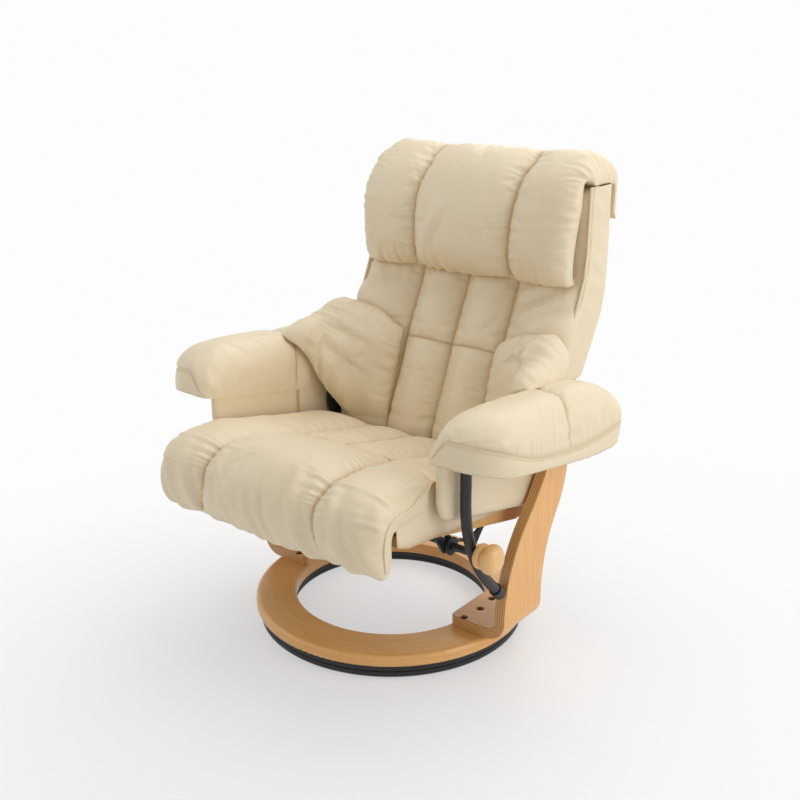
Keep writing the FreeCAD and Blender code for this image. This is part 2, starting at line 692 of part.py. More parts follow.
def board_plan(side, play=None):
    """Plan of the arm board, with rounded outer corners."""
    play = play or d.soft_play * 0
    corner = d.board_corner
    inner, outer = d.board_in - play, d.board_out + play
    front, rear = d.board_front - play, d.board_rear + play
    return [
        (inner * side, front), ((outer - corner) * side, front),
        (outer * side, front + corner, corner * -side), (outer * side, rear - corner),
        ((outer - corner) * side, rear, corner * -side), (inner * side, rear)]


def make_arm_board(name, side):
    body = make_body("arm_board_" + name)
    tilt_with_arm(body)
    plan = sketch_on(body, "XY_Plane", "plan", d.board_inset)
    outline(plan, board_plan(side))
    pad(body, plan, d.board_thick)


def make_arm_pad(name, side):
    """Padded arm in its own tilted frame: a rounded plan under an arched side profile."""
    body = make_body("arm_pad_" + name)
    tilt_with_arm(body)
    plan = sketch_on(body, "XY_Plane", "plan")
    small, front, rear = d.arm_corner, d.arm_front_corner, d.arm_rear_corner
    inner, outer, length = d.arm_in, d.arm_out, d.arm_length
    outline(plan, [
        ((inner + small) * side, 0, small * -side), ((outer - front) * side, 0),
        (outer * side, front, front * -side), (outer * side, length - rear),
        ((outer - rear) * side, length, rear * -side), ((inner + small) * side, length),
        (inner * side, length - small, small * -side), (inner * side, small)])
    pad(body, plan, d.arm_crown_rear + d.overrun * 2)
    crown = sketch_on(body, "YZ_Plane", "crown")
    above = d.arm_crown_rear + d.overrun * 3
    outline(crown, [
        (-d.overrun, d.arm_nose), (0, d.arm_nose),
        (d.arm_nose_run, d.arm_crown_front, d.arm_nose_bow),
        (length - d.arm_tail_run, d.arm_crown_rear, d.arm_crown_bow),
        (length, d.arm_tail, d.arm_tail_bow), (length + d.overrun, d.arm_tail),
        (length + d.overrun, above), (-d.overrun, above)])
    block = pocket(body, crown)

    def crest(edge):
        at_side = flat_at(edge, 0, inner.value * side) or flat_at(edge, 0, outer.value * side)
        curved = edge.Curve.TypeId != "Part::GeomLine"
        return at_side and curved and edge.Length > length.value / 2

    soften(body, block, d.arm_soft, crest)
    bed = sketch_on(body, "XY_Plane", "bed")
    outline(bed, board_plan(side, d.soft_play))
    pocket(body, bed, d.board_inset + d.board_thick, 1)


def make_arm_panel(name, side):
    """Upholstered side panel under the arm, between the seat and the leg."""
    body = make_body("arm_panel_" + name)
    face = sketch_on(body, "YZ_Plane", "face", d.board_in * side)
    outline(face, [
        (-d.panel_front_low, d.panel_low_front), (d.panel_rear, d.panel_low_rear),
        (d.panel_rear, board_height(d.panel_rear)),
        (-d.panel_front_top, board_height(-d.panel_front_top))])
    slab = pad(body, face, d.panel_thick, side)
    lowest = d.pivot_z.value - d.panel_thick.value
    soften(body, slab, d.panel_corner,
           lambda edge: along(edge, 0) and edge.Vertexes[0].Point.z < lowest)
    hole = sketch_on(body, "YZ_Plane", "hole")
    circle(hole, d.pivot_y, d.pivot_z, d.pivot_boss + d.soft_play)
    pocket(body, hole)


# Recline pivots: a steel plate on the leg with a boss through the panel, and a shouldered pin

HANGER_FACE = d.hanger_in + d.hanger_thick
LEG_FACE = d.leg_out - d.ply


def make_pivot_bracket(name, side):
    body = make_body("pivot_bracket_" + name)
    plate_in = d.board_in + d.panel_thick
    plate = sketch_on(body, "YZ_Plane", "plate", plate_in * side)
    half = d.pivot_plate_wide / 2
    high = d.pivot_z + half
    rectangle(plate, d.pivot_y - half, d.pivot_y + half, high - d.pivot_plate_long, high)
    pad(body, plate, LEG_FACE - plate_in, side)
    boss = sketch_on(body, "YZ_Plane", "boss", (HANGER_FACE + d.side_play) * side)
    circle(boss, d.pivot_y, d.pivot_z, d.pivot_boss)
    pad(body, boss, plate_in - HANGER_FACE - d.side_play, side)
    bore = sketch_on(body, "YZ_Plane", "bore")
    circle(bore, d.pivot_y, d.pivot_z, d.pivot_pin + d.fastener_play)
    pocket(body, bore)


def make_headed_pin(label, side, y, z, radii, places):
    """Pin along X: a round head inboard, a shank outboard."""
    head, shank = radii
    start, shoulder, end = places
    make_turned(label, side, y, z, [
        (start, 0), (end, 0), (end, shank), (shoulder, shank), (shoulder, head), (start, head)])


def make_pivot_pin(name, side):
    shoulder = d.hanger_in - d.side_play
    places = (shoulder - d.pivot_head_thick, shoulder, LEG_FACE + d.pivot_in_leg)
    make_headed_pin("pivot_pin_" + name, side, d.pivot_y, d.pivot_z,
                    (d.pivot_head, d.pivot_pin), places)


# Tension clamps: a rod through the arm tube squeezes the slotted slide rail between discs

SLIDE_IN = d.slide_out - d.slide_thick
DISC_OUT = d.slide_out + d.rod_play + d.disc_thick
SLEEVE_IN = DISC_OUT + d.washer_thick
DISC_IN = SLIDE_IN - d.rod_play - d.disc_thick
NUT_OUT = DISC_IN - d.washer_thick
TUBE_OUT = d.tube_x + d.tube_radius
KNOB_IN = TUBE_OUT + d.knob_washer + d.knob_gap
ROD_BORE = d.rod_radius + d.fastener_play


def make_tension_rod(name, side):
    make_turned("tension_rod_" + name, side, -ROD_Y, d.rod_z, [
        (d.rod_in, 0), (d.rod_out, 0), (d.rod_out, d.rod_radius), (d.rod_in, d.rod_radius)])


def washer(x, outer, thick, side):
    """Flat ring on the clamp's axis, from x outwards."""
    spot = Vector(x.value * side, -ROD_Y.value, d.rod_z.value)
    disc = Part.makeCylinder(outer.value, thick.value, spot, Vector(side, 0, 0))
    return disc.cut(Part.makeCylinder(ROD_BORE.value, thick.value, spot, Vector(side, 0, 0)))


def make_clamp_discs(name, side):
    """Friction discs each side of the slide rail, with their steel washers and the nut."""
    nut_in = NUT_OUT - d.nut_thick
    corners = []
    for corner in range(7):
        turn = math.radians(60 * corner)
        corners.append(Vector(nut_in.value * side,
                              d.nut_radius.value * math.cos(turn) - ROD_Y.value,
                              d.nut_radius.value * math.sin(turn) + d.rod_z.value))
    nut = Part.Face(Part.makePolygon(corners)).extrude(Vector(d.nut_thick.value * side, 0, 0))
    nut = nut.common(washer(nut_in, d.nut_radius, d.nut_thick, side))
    group("clamp_discs_" + name, [
        nut, washer(NUT_OUT, d.washer_radius, d.washer_thick, side),
        washer(DISC_IN, d.disc_radius, d.disc_thick, side),
        washer(d.slide_out + d.rod_play, d.disc_radius, d.disc_thick, side),
        washer(DISC_OUT, d.washer_radius, d.washer_thick, side),
        washer(TUBE_OUT, d.knob_washer_radius, d.knob_washer, side)])


def make_clamp_sleeve(name, side, tube):
    """Spacer tube on the rod, coped to the arm tube."""
    spot = (SLEEVE_IN * side, -ROD_Y, d.rod_z)
    turn = Rotation(Vector(0, 1, 0), 90 * side)
    length = d.tube_x - SLEEVE_IN
    hollow = DOC.addObject("Part::Cut", "sleeve_hollow_" + name)
    hollow.Base = rod("sleeve_blank_" + name, d.sleeve_radius, length, spot, turn)
    hollow.Tool = rod("sleeve_core_" + name, ROD_BORE, length, spot, turn)
    subtract("clamp_sleeve_" + name, hollow, tube)


def make_knob(name, side):
    """Turned beech knob with two lobes, on the rod outside the tube."""
    neck = KNOB_IN + d.knob_neck_at
    end = KNOB_IN + d.knob_length
    bore_end = d.rod_out + d.fastener_play
    make_turned("knob_" + name, side, -ROD_Y, d.rod_z, [
        (KNOB_IN, ROD_BORE), (KNOB_IN, d.knob_hub), (neck, d.knob_neck, d.knob_lobe_bow),
        (end, d.knob_tip, d.knob_big_lobe_bow), (end, 0), (bore_end, 0), (bore_end, ROD_BORE)])


# Back: a bent tube frame with hanger plates, straps, a rear panel and the soft parts

def lean_line(height, offset=0):
    """Depth of the back's lower straight run at a height, offset forwards from its rear face."""
    line = d.back_foot_y + (height - d.back_foot_z) * d.back_lean.tan()
    return line - offset / d.back_lean.cos() if offset else line


def back_bend(offset=0):
    """Start, end and radius of the back's bend for a line offset forwards from the rear face."""
    low = lean_line(d.back_bend_height)
    start = (low - d.back_lean.cos() * offset, d.back_bend_height + d.back_lean.sin() * offset)
    finish = (low - d.back_bend * d.back_lean.cos() + d.back_bend - offset,
              d.back_bend_height + d.back_bend * d.back_lean.sin())
    return start, finish, d.back_bend - offset


FRAME_OFFSET = d.panel_skin + d.frame_radius
STRAP_OFFSET = FRAME_OFFSET + d.frame_radius
SOFT_OFFSET = STRAP_OFFSET + d.strap_thick


def make_back_frame():
    body = make_body("back_frame")
    start, finish, bend = back_bend(FRAME_OFFSET)
    bow_z = d.back_top - d.frame_radius - d.bow_drop
    shoulder = bow_z - d.bow_corner
    for name, side in SIDES:
        add_hanger(body, name, side)
    for name, side in SIDES:
        path = sketch_on(body, "YZ_Plane", "path_" + name, d.frame_x * side)
        outline(path, [
            (finish[0], shoulder), finish, start + (bend,),
            (lean_line(d.frame_foot, FRAME_OFFSET), d.frame_foot)], closed=False)
        ring = sketch_on(body, "XY_Plane", "ring_" + name, shoulder)
        circle(ring, d.frame_x * side, finish[0], d.frame_radius)
        pipe(body, ring, path)
    bow = sketch_on(body, "XZ_Plane", "bow", -finish[0])
    inner = d.frame_x - d.bow_corner
    outline(bow, [
        (d.frame_x, shoulder), (inner, bow_z, -d.bow_corner), (-inner, bow_z),
        (-d.frame_x, shoulder, -d.bow_corner)], closed=False)
    bow_ring = sketch_on(body, "XY_Plane", "bow_ring", shoulder)
    circle(bow_ring, d.frame_x, finish[0], d.frame_radius)
    pipe(body, bow_ring, bow)
    cross = sketch_on(body, "YZ_Plane", "cross")
    circle(cross, lean_line(d.cross_low, FRAME_OFFSET), d.cross_low, d.cross_radius)
    circle(cross, finish[0], d.cross_high, d.cross_radius)
    pad(body, cross, d.frame_x * 2, both=True)


def add_hanger(body, name, side):
    """Steel plate that carries the recline pivot and the seat hinge."""
    margin = d.hanger_margin
    elbow = d.pivot_z + margin
    foot = d.hinge_z - margin
    plate = sketch_on(body, "YZ_Plane", "hanger_" + name, d.hanger_in * side)
    outline(plate, [
        (d.hinge_y - margin, foot), (d.hinge_y + margin, foot),
        (lean_line(d.hanger_top, d.panel_skin), d.hanger_top),
        (lean_line(d.hanger_top, STRAP_OFFSET), d.hanger_top),
        (lean_line(elbow, STRAP_OFFSET), elbow), (d.pivot_y - margin, elbow),
        (d.pivot_y - margin, d.pivot_z - margin)])
    slab = pad(body, plate, d.hanger_thick, side)
    inner = d.hanger_in.value - 1

    def plate_corner(edge):
        if not along(edge, 0) or edge.Length < d.hanger_thick.value / 2:
            return False
        return all(point.Point.x * side > inner for point in edge.Vertexes)

    soften(body, slab, d.hanger_corner, plate_corner)
    bores = sketch_on(body, "YZ_Plane", "bores_" + name, d.hanger_in * side)
    circle(bores, d.pivot_y, d.pivot_z, d.pivot_pin + d.pin_play)
    circle(bores, d.hinge_y, d.hinge_z, d.hinge_pin + d.fastener_play)
    pocket(body, bores, d.hanger_thick, side)


def make_back_panel():
    """Upholstered rear panel, bent with the frame and fixed to its tubes."""
    body = make_body("back_panel")
    start, finish, bend = back_bend()
    inner_start, inner_finish, inner_bend = back_bend(d.panel_skin)
    foot = d.back_panel_foot
    section = sketch_on(body, "YZ_Plane", "section")
    outline(section, [
        (lean_line(foot), foot), start, finish + (-bend,), (finish[0], d.back_top),
        (inner_finish[0], d.back_top), inner_finish, inner_start + (inner_bend,),
        (lean_line(foot, d.panel_skin), foot)])
    pad(body, section, d.panel_half * 2, both=True)


def strap_at(height):
    """Elastic strap across the frame's front, at a height."""
    start, finish, _ = back_bend(STRAP_OFFSET)
    half = d.frame_x.value
    strap = Part.makeBox(half * 2, d.strap_thick.value, d.strap_wide.value,
                         Vector(-half, -d.strap_thick.value, -d.strap_wide.value / 2))
    if height.value < start[1].value:
        spot = Vector(0, lean_line(height, STRAP_OFFSET).value, height.value)
        turn = Rotation(Vector(1, 0, 0), -d.back_lean.value)
    else:
        spot = Vector(0, finish[0].value, height.value)
        turn = Rotation()
    return strap.transformed(Placement(spot, turn).toMatrix(), True)


def spread(low, high, count):
    """Evenly spaced sizes from low to high."""
    steps = int(count) - 1
    return [low + (high - low) * (index / steps) for index in range(steps + 1)]


def make_back_straps():
    heights = spread(d.strap_low, d.strap_waist, d.strap_low_count)
    heights += spread(d.strap_chest, d.strap_high, d.strap_high_count)
    group("back_straps", [strap_at(height) for height in heights])


SOFT_CORNERS = [
    (d.back_soft_foot_y, d.back_soft_foot_z), (d.back_soft_belly_y, d.back_soft_belly_z),
    (d.back_soft_bend_y, d.back_soft_bend_z), (d.back_soft_neck_y, d.back_soft_neck_z)]


def soft_front(height):
    """Depth of the back cushion's front face at a height, up to the neck."""
    for below, above in zip(SOFT_CORNERS, SOFT_CORNERS[1:]):
        if height.value < above[1].value:
            break
    slope = (above[0] - below[0]) / (above[1] - below[1])
    return below[0] + (height - below[1]) * slope


def soft_corners(low, high):
    """Corners of the back cushion's front between two heights, from the top down."""
    return [spot for spot in reversed(SOFT_CORNERS) if low.value < spot[1].value < high.value]


def make_back_cushion():
    """Soft front of the back; above the arms it is wider and wraps the frame's sides."""
    body = make_body("back_cushion")
    start, finish, bend = back_bend(SOFT_OFFSET)
    top = d.back_top
    foot = d.back_soft_foot_z
    section = sketch_on(body, "YZ_Plane", "section")
    outline(section, [
        (d.back_soft_foot_y, foot), (lean_line(foot, SOFT_OFFSET), foot), start,
        finish + (-bend,), (finish[0], top), (d.back_soft_top_y, top)] + soft_corners(foot, top))
    pad(body, section, d.back_half_low * 2, both=True)
    low = d.hanger_top + d.soft_play
    upper = sketch_on(body, "YZ_Plane", "upper")
    outline(upper, [
        (soft_front(low), low), (lean_line(low, SOFT_OFFSET), low), start,
        finish + (-bend,), (finish[0], top), (d.back_soft_top_y, top)] + soft_corners(low, top))
    pad(body, upper, d.back_half_high * 2, both=True)
    lap = SOFT_OFFSET + d.back_return_lap
    outer_start, outer_finish, outer_bend = back_bend()
    inner_start, inner_finish, inner_bend = back_bend(lap)
    for name, side in SIDES:
        wrap = sketch_on(body, "YZ_Plane", "wrap_" + name, d.back_return_in * side)
        outline(wrap, [
            (lean_line(low), low), outer_start, outer_finish + (-outer_bend,),
            (outer_finish[0], top), (inner_finish[0], top), inner_finish,
            inner_start + (inner_bend,), (lean_line(low, lap), low)])
        pad(body, wrap, d.back_half_high - d.back_return_in, side)


def make_wing(name, side):
    """Side bolster of the back, which reaches out over the arm."""
    body = make_body("wing_" + name)
    arm = d.arm_front_height
    nose, high, low = arm + d.wing_nose_z, arm + d.wing_high, arm + d.wing_low
    head = [(d.wing_nose_y, nose), (d.wing_brow_y, arm + d.wing_brow_z), (soft_front(high), high)]
    lap, foot = (d.wing_lap, low), d.wing_foot_z
    inner = sketch_on(body, "YZ_Plane", "inner", d.wing_in * side)
    outline(inner, [(soft_front(foot), foot), (d.wing_waist_y, arm + d.wing_waist_z)] + head
            + soft_corners(foot, high))
    pad(body, inner, d.back_half_low - d.wing_in, side)
    middle = sketch_on(body, "YZ_Plane", "middle", d.wing_in * side)
    outline(middle, [(soft_front(low), low), lap] + head + soft_corners(low, high))
    pad(body, middle, d.wing_out - d.wing_in, side)
    outer_in = d.back_half_high + d.soft_play
    outer = sketch_on(body, "YZ_Plane", "outer", outer_in * side)
    outline(outer, [lap] + head + [(d.wing_rear, high), (d.wing_rear, low)])
    pad(body, outer, d.wing_out - outer_in, side)
    trim = sketch_on(body, "XZ_Plane", "trim")
    within, beyond = d.wing_in - d.overrun, d.wing_out + d.overrun
    seam_z = arm + d.wing_seam_z
    outline(trim, [
        (within * side, seam_z), (d.wing_in * side, seam_z),
        ((d.wing_out - d.wing_slope) * side, high, d.wing_crest_bow * side),
        (d.wing_out * side, nose, d.wing_bow * side), (beyond * side, nose),
        (beyond * side, high + d.overrun), (within * side, high + d.overrun)])
    pocket(body, trim)
    cheek = sketch_on(body, "XY_Plane", "cheek")
    front = d.wing_nose_y - d.overrun
    outline(cheek, [
        (within * side, d.wing_cheek_y), (d.wing_in * side, d.wing_cheek_y),
        (d.wing_cheek_x * side, d.wing_nose_y), (d.wing_cheek_x * side, front),
        (within * side, front)])
    block = pocket(body, cheek)
    soften(body, block, d.wing_soft, lambda edge: flat_at(edge, 0, d.wing_out.value * side))


def make_head_pillow():
    """Head pillow that hooks over the top of the back, with a flap behind."""
    body = make_body("head_pillow")
    section = sketch_on(body, "YZ_Plane", "section")
    play = d.head_play
    rear = back_bend()[1][0] + play
    outline(section, [
        (d.head_low_y, d.head_low_z), (d.head_chin_y, d.head_chin_z, d.head_chin_bow),
        (d.head_brow_y, d.head_brow_z), (d.head_top_y, d.head_top_z, d.head_bow),
        (d.head_rear_y, d.head_rear_z, d.head_nape_bow), (d.head_rear_y, d.head_flap_z),
        (rear, d.head_flap_z), (rear, d.back_top), (d.back_soft_top_y - play, d.back_top),
        (d.back_soft_neck_y - play, d.head_low_z)])
    pad(body, section, d.head_half * 2, both=True)
    half, corner = d.head_half, d.head_corner
    wide = half + d.overrun
    front = d.head_chin_y - d.head_play
    far = d.head_rear_y + d.overrun
    plan = sketch_on(body, "XY_Plane", "plan")
    rectangle(plan, -wide, wide, front - d.overrun, far + d.overrun)
    outline(plan, [
        (-half + corner, front, -corner), (half - corner, front), (half, front + corner, -corner),
        (half, far), (-half, far), (-half, front + corner)])
    pocket(body, plan)
    low, top = d.head_low_z - d.overrun, d.head_top_z + d.head_play
    face = sketch_on(body, "XZ_Plane", "face")
    rectangle(face, -wide, wide, low - d.overrun, top + d.overrun)
    outline(face, [
        (-half, low), (half, low), (half, top - corner), (half - corner, top, -corner),
        (-half + corner, top), (-half, top - corner, -corner)])
    pocket(body, face)


# Seat: two side rails hinged to the hanger plates, cross rails, straps, cushion and slide rails

def deck_height(y):
    """Top of the seat rails at a depth y."""
    return d.rail_front_top - d.deck_fall.tan() * (y + d.rail_front)


def belly_height(y):
    """Lower edge of the seat rails at a depth y."""
    fall = (d.rail_low_front_z - d.rail_low_rear_z) / (d.rail_low_front_y + d.rail_low_rear_y)
    return d.rail_low_rear_z - fall * (y - d.rail_low_rear_y)


def make_seat_rail(name, side):
    body = make_body("seat_rail_" + name)
    face = sketch_on(body, "YZ_Plane", "face", (d.rail_out - d.rail_thick) * side)
    end = d.hinge_y + d.rail_end
    outline(face, [
        (-d.rail_front, d.rail_front_low), (-d.rail_low_front_y, d.rail_low_front_z),
        (d.rail_low_rear_y, d.rail_low_rear_z), (end, d.hinge_z - d.rail_end),
        (end, d.hinge_z + d.rail_end), (d.rail_deck_rear, deck_height(d.rail_deck_rear)),
        (-d.rail_front, d.rail_front_top)])
    slab = pad(body, face, d.rail_thick, side)
    last = end.value - 1
    soften(body, slab, d.rail_corner,
           lambda edge: along(edge, 0) and edge.Vertexes[0].Point.y > last)
    hole = sketch_on(body, "YZ_Plane", "hole")
    circle(hole, d.hinge_y, d.hinge_z, d.hinge_pin + d.pin_play)
    pocket(body, hole)


def make_cross_rail(label, depth, low):
    """Rail across the seat between the side rails, its top on the deck line."""
    body = make_body(label)
    face = sketch_on(body, "YZ_Plane", "face")
    behind = depth + d.cross_rail_thick
    outline(face, [(depth, low), (behind, low), (behind, deck_height(behind)),
                   (depth, deck_height(depth))])
    pad(body, face, (d.rail_out - d.rail_thick) * 2, both=True)


def make_seat_straps():
    """Elastic straps across the seat, on the side rails."""
    straps = []
    half = d.rail_out.value
    for middle in spread(d.strap_wide - d.rail_front, d.rail_deck_rear - d.strap_wide,
                         d.seat_strap_count):
        strap = Part.makeBox(half * 2, d.strap_wide.value, d.seat_strap_thick.value,
                             Vector(-half, -d.strap_wide.value / 2, 0))
        spot = Vector(0, middle.value, deck_height(middle).value)
        turn = Rotation(Vector(1, 0, 0), -d.deck_fall.value)
        straps.append(strap.transformed(Placement(spot, turn).toMatrix(), True))
    group("seat_straps", straps)


def make_seat_cushion():
    """Soft seat: a side profile across the seat, cut to a plan with wider front corners."""
    body = make_body("seat_cushion")
    section = sketch_on(body, "YZ_Plane", "section")
    lift = d.seat_strap_thick / d.deck_fall.cos()
    lip = -d.seat_lip_rear
    outline(section, [
        (d.seat_rear, deck_height(d.seat_rear) + lift), (lip, deck_height(lip) + lift),
        (lip, d.seat_lip_low), (-d.seat_lip_front, d.seat_lip_low),
        (-d.seat_front, d.seat_front_low, d.seat_lip_bow), (-d.seat_front, d.seat_front_high),
        (-d.seat_nose_y, d.seat_nose_z, d.seat_nose_bow), (-d.seat_thigh_y, d.seat_thigh_z),
        (-d.seat_dip_y, d.seat_dip_z), (d.seat_rear, d.seat_rear_z)])
    pad(body, section, d.seat_front_half * 2, both=True)
    trim = sketch_on(body, "XY_Plane", "trim")
    far = d.seat_front + d.overrun
    wide = d.seat_front_half + d.overrun
    rectangle(trim, -wide, wide, -far, far)
    front, nose, corner = d.seat_front_half, -d.seat_front, d.seat_corner
    rear = d.seat_rear + d.overrun / 2
    outline(trim, [
        (-front + corner, nose, -corner), (front - corner, nose),
        (front, nose + corner, -corner), (front, -d.seat_shoulder),
        (d.seat_half, -d.seat_shoulder), (d.seat_half, rear), (-d.seat_half, rear),
        (-d.seat_half, -d.seat_shoulder), (-front, -d.seat_shoulder), (-front, nose + corner)])
    block = pocket(body, trim)
    low = d.seat_rear_z.value - 1
    soften(body, block, d.seat_soft,
           lambda edge: edge.BoundBox.ZMin > low and not along(edge, 0))


def turned(y, z, angle):
    """A step of y and z after the back or seat has tipped backwards by an angle."""
    return y * angle.cos() + z * angle.sin(), z * angle.cos() - y * angle.sin()


def rod_in_seat(angle):
    """Where the clamp rod lies against the resting seat once the back has reclined."""
    hang = turned(d.hinge_y - d.pivot_y, d.hinge_z - d.pivot_z, angle)
    reach = turned(-ROD_Y - d.pivot_y - hang[0], d.rod_z - d.pivot_z - hang[1],
                   -(angle * d.seat_share_of_tilt))
    return d.hinge_y + reach[0], d.hinge_z + reach[1]


def make_slide_rail(name, side):
    """Slotted steel rail under the seat: its curved slot rides on the clamp rod."""
    body = make_body("slide_rail_" + name)
    near, far = rod_in_seat(d.recline * 0), rod_in_seat(d.recline)
    margin = d.slide_margin
    front, rear = -d.slide_front, -d.slide_rear
    front_in, rear_in = front + d.slide_front_wide, rear - d.slide_rear_wide
    plate = sketch_on(body, "YZ_Plane", "plate", SLIDE_IN * side)
    outline(plate, [
        (front_in, belly_height(front_in)), (near[0] - margin / 2, near[1] + margin),
        (far[0] + margin / 2, far[1] + margin), (rear_in, belly_height(rear_in)),
        (rear, belly_height(rear)), (far[0] + d.slide_tail, far[1] - margin),
        (far[0], far[1] - margin), (near[0] - margin / 2, near[1] - margin),
        (near[0] - margin * 2, near[1]), (front, belly_height(front))])
    pad(body, plate, d.slide_thick, side)
    for end, low, high in (("front", front, front_in), ("rear", rear_in, rear)):
        foot = sketch_on(body, "YZ_Plane", "foot_" + end, d.slide_foot_in * side)
        outline(foot, [
            (low, belly_height(low) - d.slide_foot), (high, belly_height(high) - d.slide_foot),
            (high, belly_height(high)), (low, belly_height(low))])
        pad(body, foot, d.slide_out - d.slide_foot_in, side)
    cut_slot(body)


def cut_slot(body):
    """Band along the rod's path through three of its places, with a round hole at each end."""
    spots = [rod_in_seat(d.recline * share) for share in (0, 0.5, 1)]
    points = [Vector(spot[0].value, spot[1].value, 0) for spot in spots]
    path = Part.Arc(*points).toShape().Curve
    half = d.rod_radius.value + d.rod_play.value
    rays = [(point - path.Center).normalize() for point in (points[0], points[-1])]
    near, near_low = [path.Center + rays[0] * (path.Radius + step) for step in (half, -half)]
    far, far_low = [path.Center + rays[1] * (path.Radius + step) for step in (half, -half)]
    turn = 1 if path.Center.y < points[1].y else -1
    band = sketch_on(body, "YZ_Plane", "slot")
    outline(band, [
        (near_low.x, near_low.y, (half - path.Radius) * turn), (near.x, near.y),
        (far.x, far.y, (path.Radius + half) * turn), (far_low.x, far_low.y)])
    pocket(body, band)
    for end, spot in (("front", spots[0]), ("rear", spots[-1])):
        hole = sketch_on(body, "YZ_Plane", "slot_" + end)
        circle(hole, spot[0], spot[1], d.rod_radius + d.rod_play)
        pocket(body, hole)


def make_hinge_pin(name, side):
    shoulder = d.rail_out - d.rail_thick - d.side_play
    places = (shoulder - d.hinge_head_thick, shoulder, HANGER_FACE)
    make_headed_pin("hinge_pin_" + name, side, d.hinge_y, d.hinge_z,
                    (d.hinge_head, d.hinge_pin), places)


make_floor_ring()
make_floor_pads()
make_cage()
make_rollers()
make_carrier()
make_carrier_screws()
make_clips()
make_base_ring()
make_back_frame()
make_back_panel()
make_back_straps()
make_back_cushion()
make_head_pillow()
make_cross_rail("seat_front_rail", -d.rail_front, d.rail_front_low)
make_cross_rail("seat_rear_rail", d.rear_rail_y, d.rear_rail_low)
make_seat_straps()
make_seat_cushion()
for side_name, sign in SIDES:
    blade = make_leg(side_name, sign)
    make_foot_bolts(side_name, sign)
    steel = make_arm_tube(side_name, sign)
    make_collar(side_name, sign, blade)
    make_arm_board(side_name, sign)
    make_arm_pad(side_name, sign)
    make_arm_panel(side_name, sign)
    make_pivot_bracket(side_name, sign)
    make_pivot_pin(side_name, sign)
    make_tension_rod(side_name, sign)
    make_clamp_discs(side_name, sign)
    make_clamp_sleeve(side_name, sign, steel)
    make_knob(side_name, sign)
    make_wing(side_name, sign)
    make_seat_rail(side_name, sign)
    make_hinge_pin(side_name, sign)
    make_slide_rail(side_name, sign)
DOC.recompute()

for item in DOC.Objects:
    if "Invalid" in item.State or "Error" in item.State:
        raise RuntimeError("%s could not be worked out" % item.Name)
os.makedirs("parts", exist_ok=True)
for item in PARTS:
    if item.Shape.isNull() or not item.Shape.isValid():
        raise RuntimeError("%s is not a valid solid" % item.Label)
    item.Shape.exportStep("parts/%s.step" % item.Label)
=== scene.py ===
"""Looks of a leather swivel recliner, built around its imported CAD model.

Every soft piece is worked out in millimetres, as grids of points in the CAD frame, and cover()
turns it into metres. X is the sitter's left, the sitter faces -Y, and Z is up.
"""
import json
import math

import bmesh
import bpy
import numpy as np
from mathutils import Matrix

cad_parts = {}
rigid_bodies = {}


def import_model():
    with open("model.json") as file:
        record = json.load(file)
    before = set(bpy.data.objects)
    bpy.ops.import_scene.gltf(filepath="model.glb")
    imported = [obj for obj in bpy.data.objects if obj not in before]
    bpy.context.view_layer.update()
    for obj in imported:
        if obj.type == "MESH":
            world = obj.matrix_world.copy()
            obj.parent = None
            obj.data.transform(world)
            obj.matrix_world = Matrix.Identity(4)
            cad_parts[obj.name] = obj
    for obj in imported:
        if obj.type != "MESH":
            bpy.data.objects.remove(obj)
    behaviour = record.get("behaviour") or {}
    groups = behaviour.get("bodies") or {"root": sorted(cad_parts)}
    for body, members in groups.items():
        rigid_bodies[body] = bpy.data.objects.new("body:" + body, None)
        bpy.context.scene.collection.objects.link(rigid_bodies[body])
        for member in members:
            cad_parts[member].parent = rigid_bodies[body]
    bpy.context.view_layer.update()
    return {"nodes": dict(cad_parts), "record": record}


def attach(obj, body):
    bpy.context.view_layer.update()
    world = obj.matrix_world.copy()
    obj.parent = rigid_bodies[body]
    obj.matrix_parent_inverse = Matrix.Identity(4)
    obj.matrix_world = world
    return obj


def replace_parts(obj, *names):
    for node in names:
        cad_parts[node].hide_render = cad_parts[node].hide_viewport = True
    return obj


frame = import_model()

MM = 0.001
SIDES = (("left", 1), ("right", -1))
CLOTH_FRAMES = 20
# Between the grid lines of the seat and back
WALL_STEP = 5.5


# Curves, grids and relief

def marks_of(path):
    """Distance along a path at each of its points."""
    return np.concatenate([[0], np.cumsum(np.linalg.norm(np.diff(path, axis=0), axis=1))])


def cubic(t, start, end, leave, arrive):
    """Cubic from a start to an end whose slopes there are given, at t between 0 and 1."""
    return ((2 * t**3 - 3 * t**2 + 1) * start + (t**3 - 2 * t**2 + t) * leave
            + (3 * t**2 - 2 * t**3) * end + (t**3 - t**2) * arrive)


def spline(points, share):
    """Smooth curve through the points, read at shares of its length: between two points it is a
    cubic whose end slopes are those of the neighbouring chords. Only the first two columns
    measure the length, so that the other columns stay paired with them."""
    points = np.asarray(points, float)
    marks = marks_of(points[:, :2])
    knots = marks / marks[-1]
    slopes = np.gradient(points, knots, axis=0)
    share = np.clip(np.asarray(share, float), 0, 1)
    piece = np.clip(np.searchsorted(knots, share, side="right") - 1, 0, len(points) - 2)
    span = (knots[1:] - knots[:-1])[piece][..., None]
    t = (share - knots[piece])[..., None] / span
    return cubic(t, points[piece], points[piece + 1], span * slopes[piece],
                 span * slopes[piece + 1])


def length_of(points):
    """Length of a run of points, by their first two columns."""
    return marks_of(np.asarray(points, float)[:, :2])[-1]


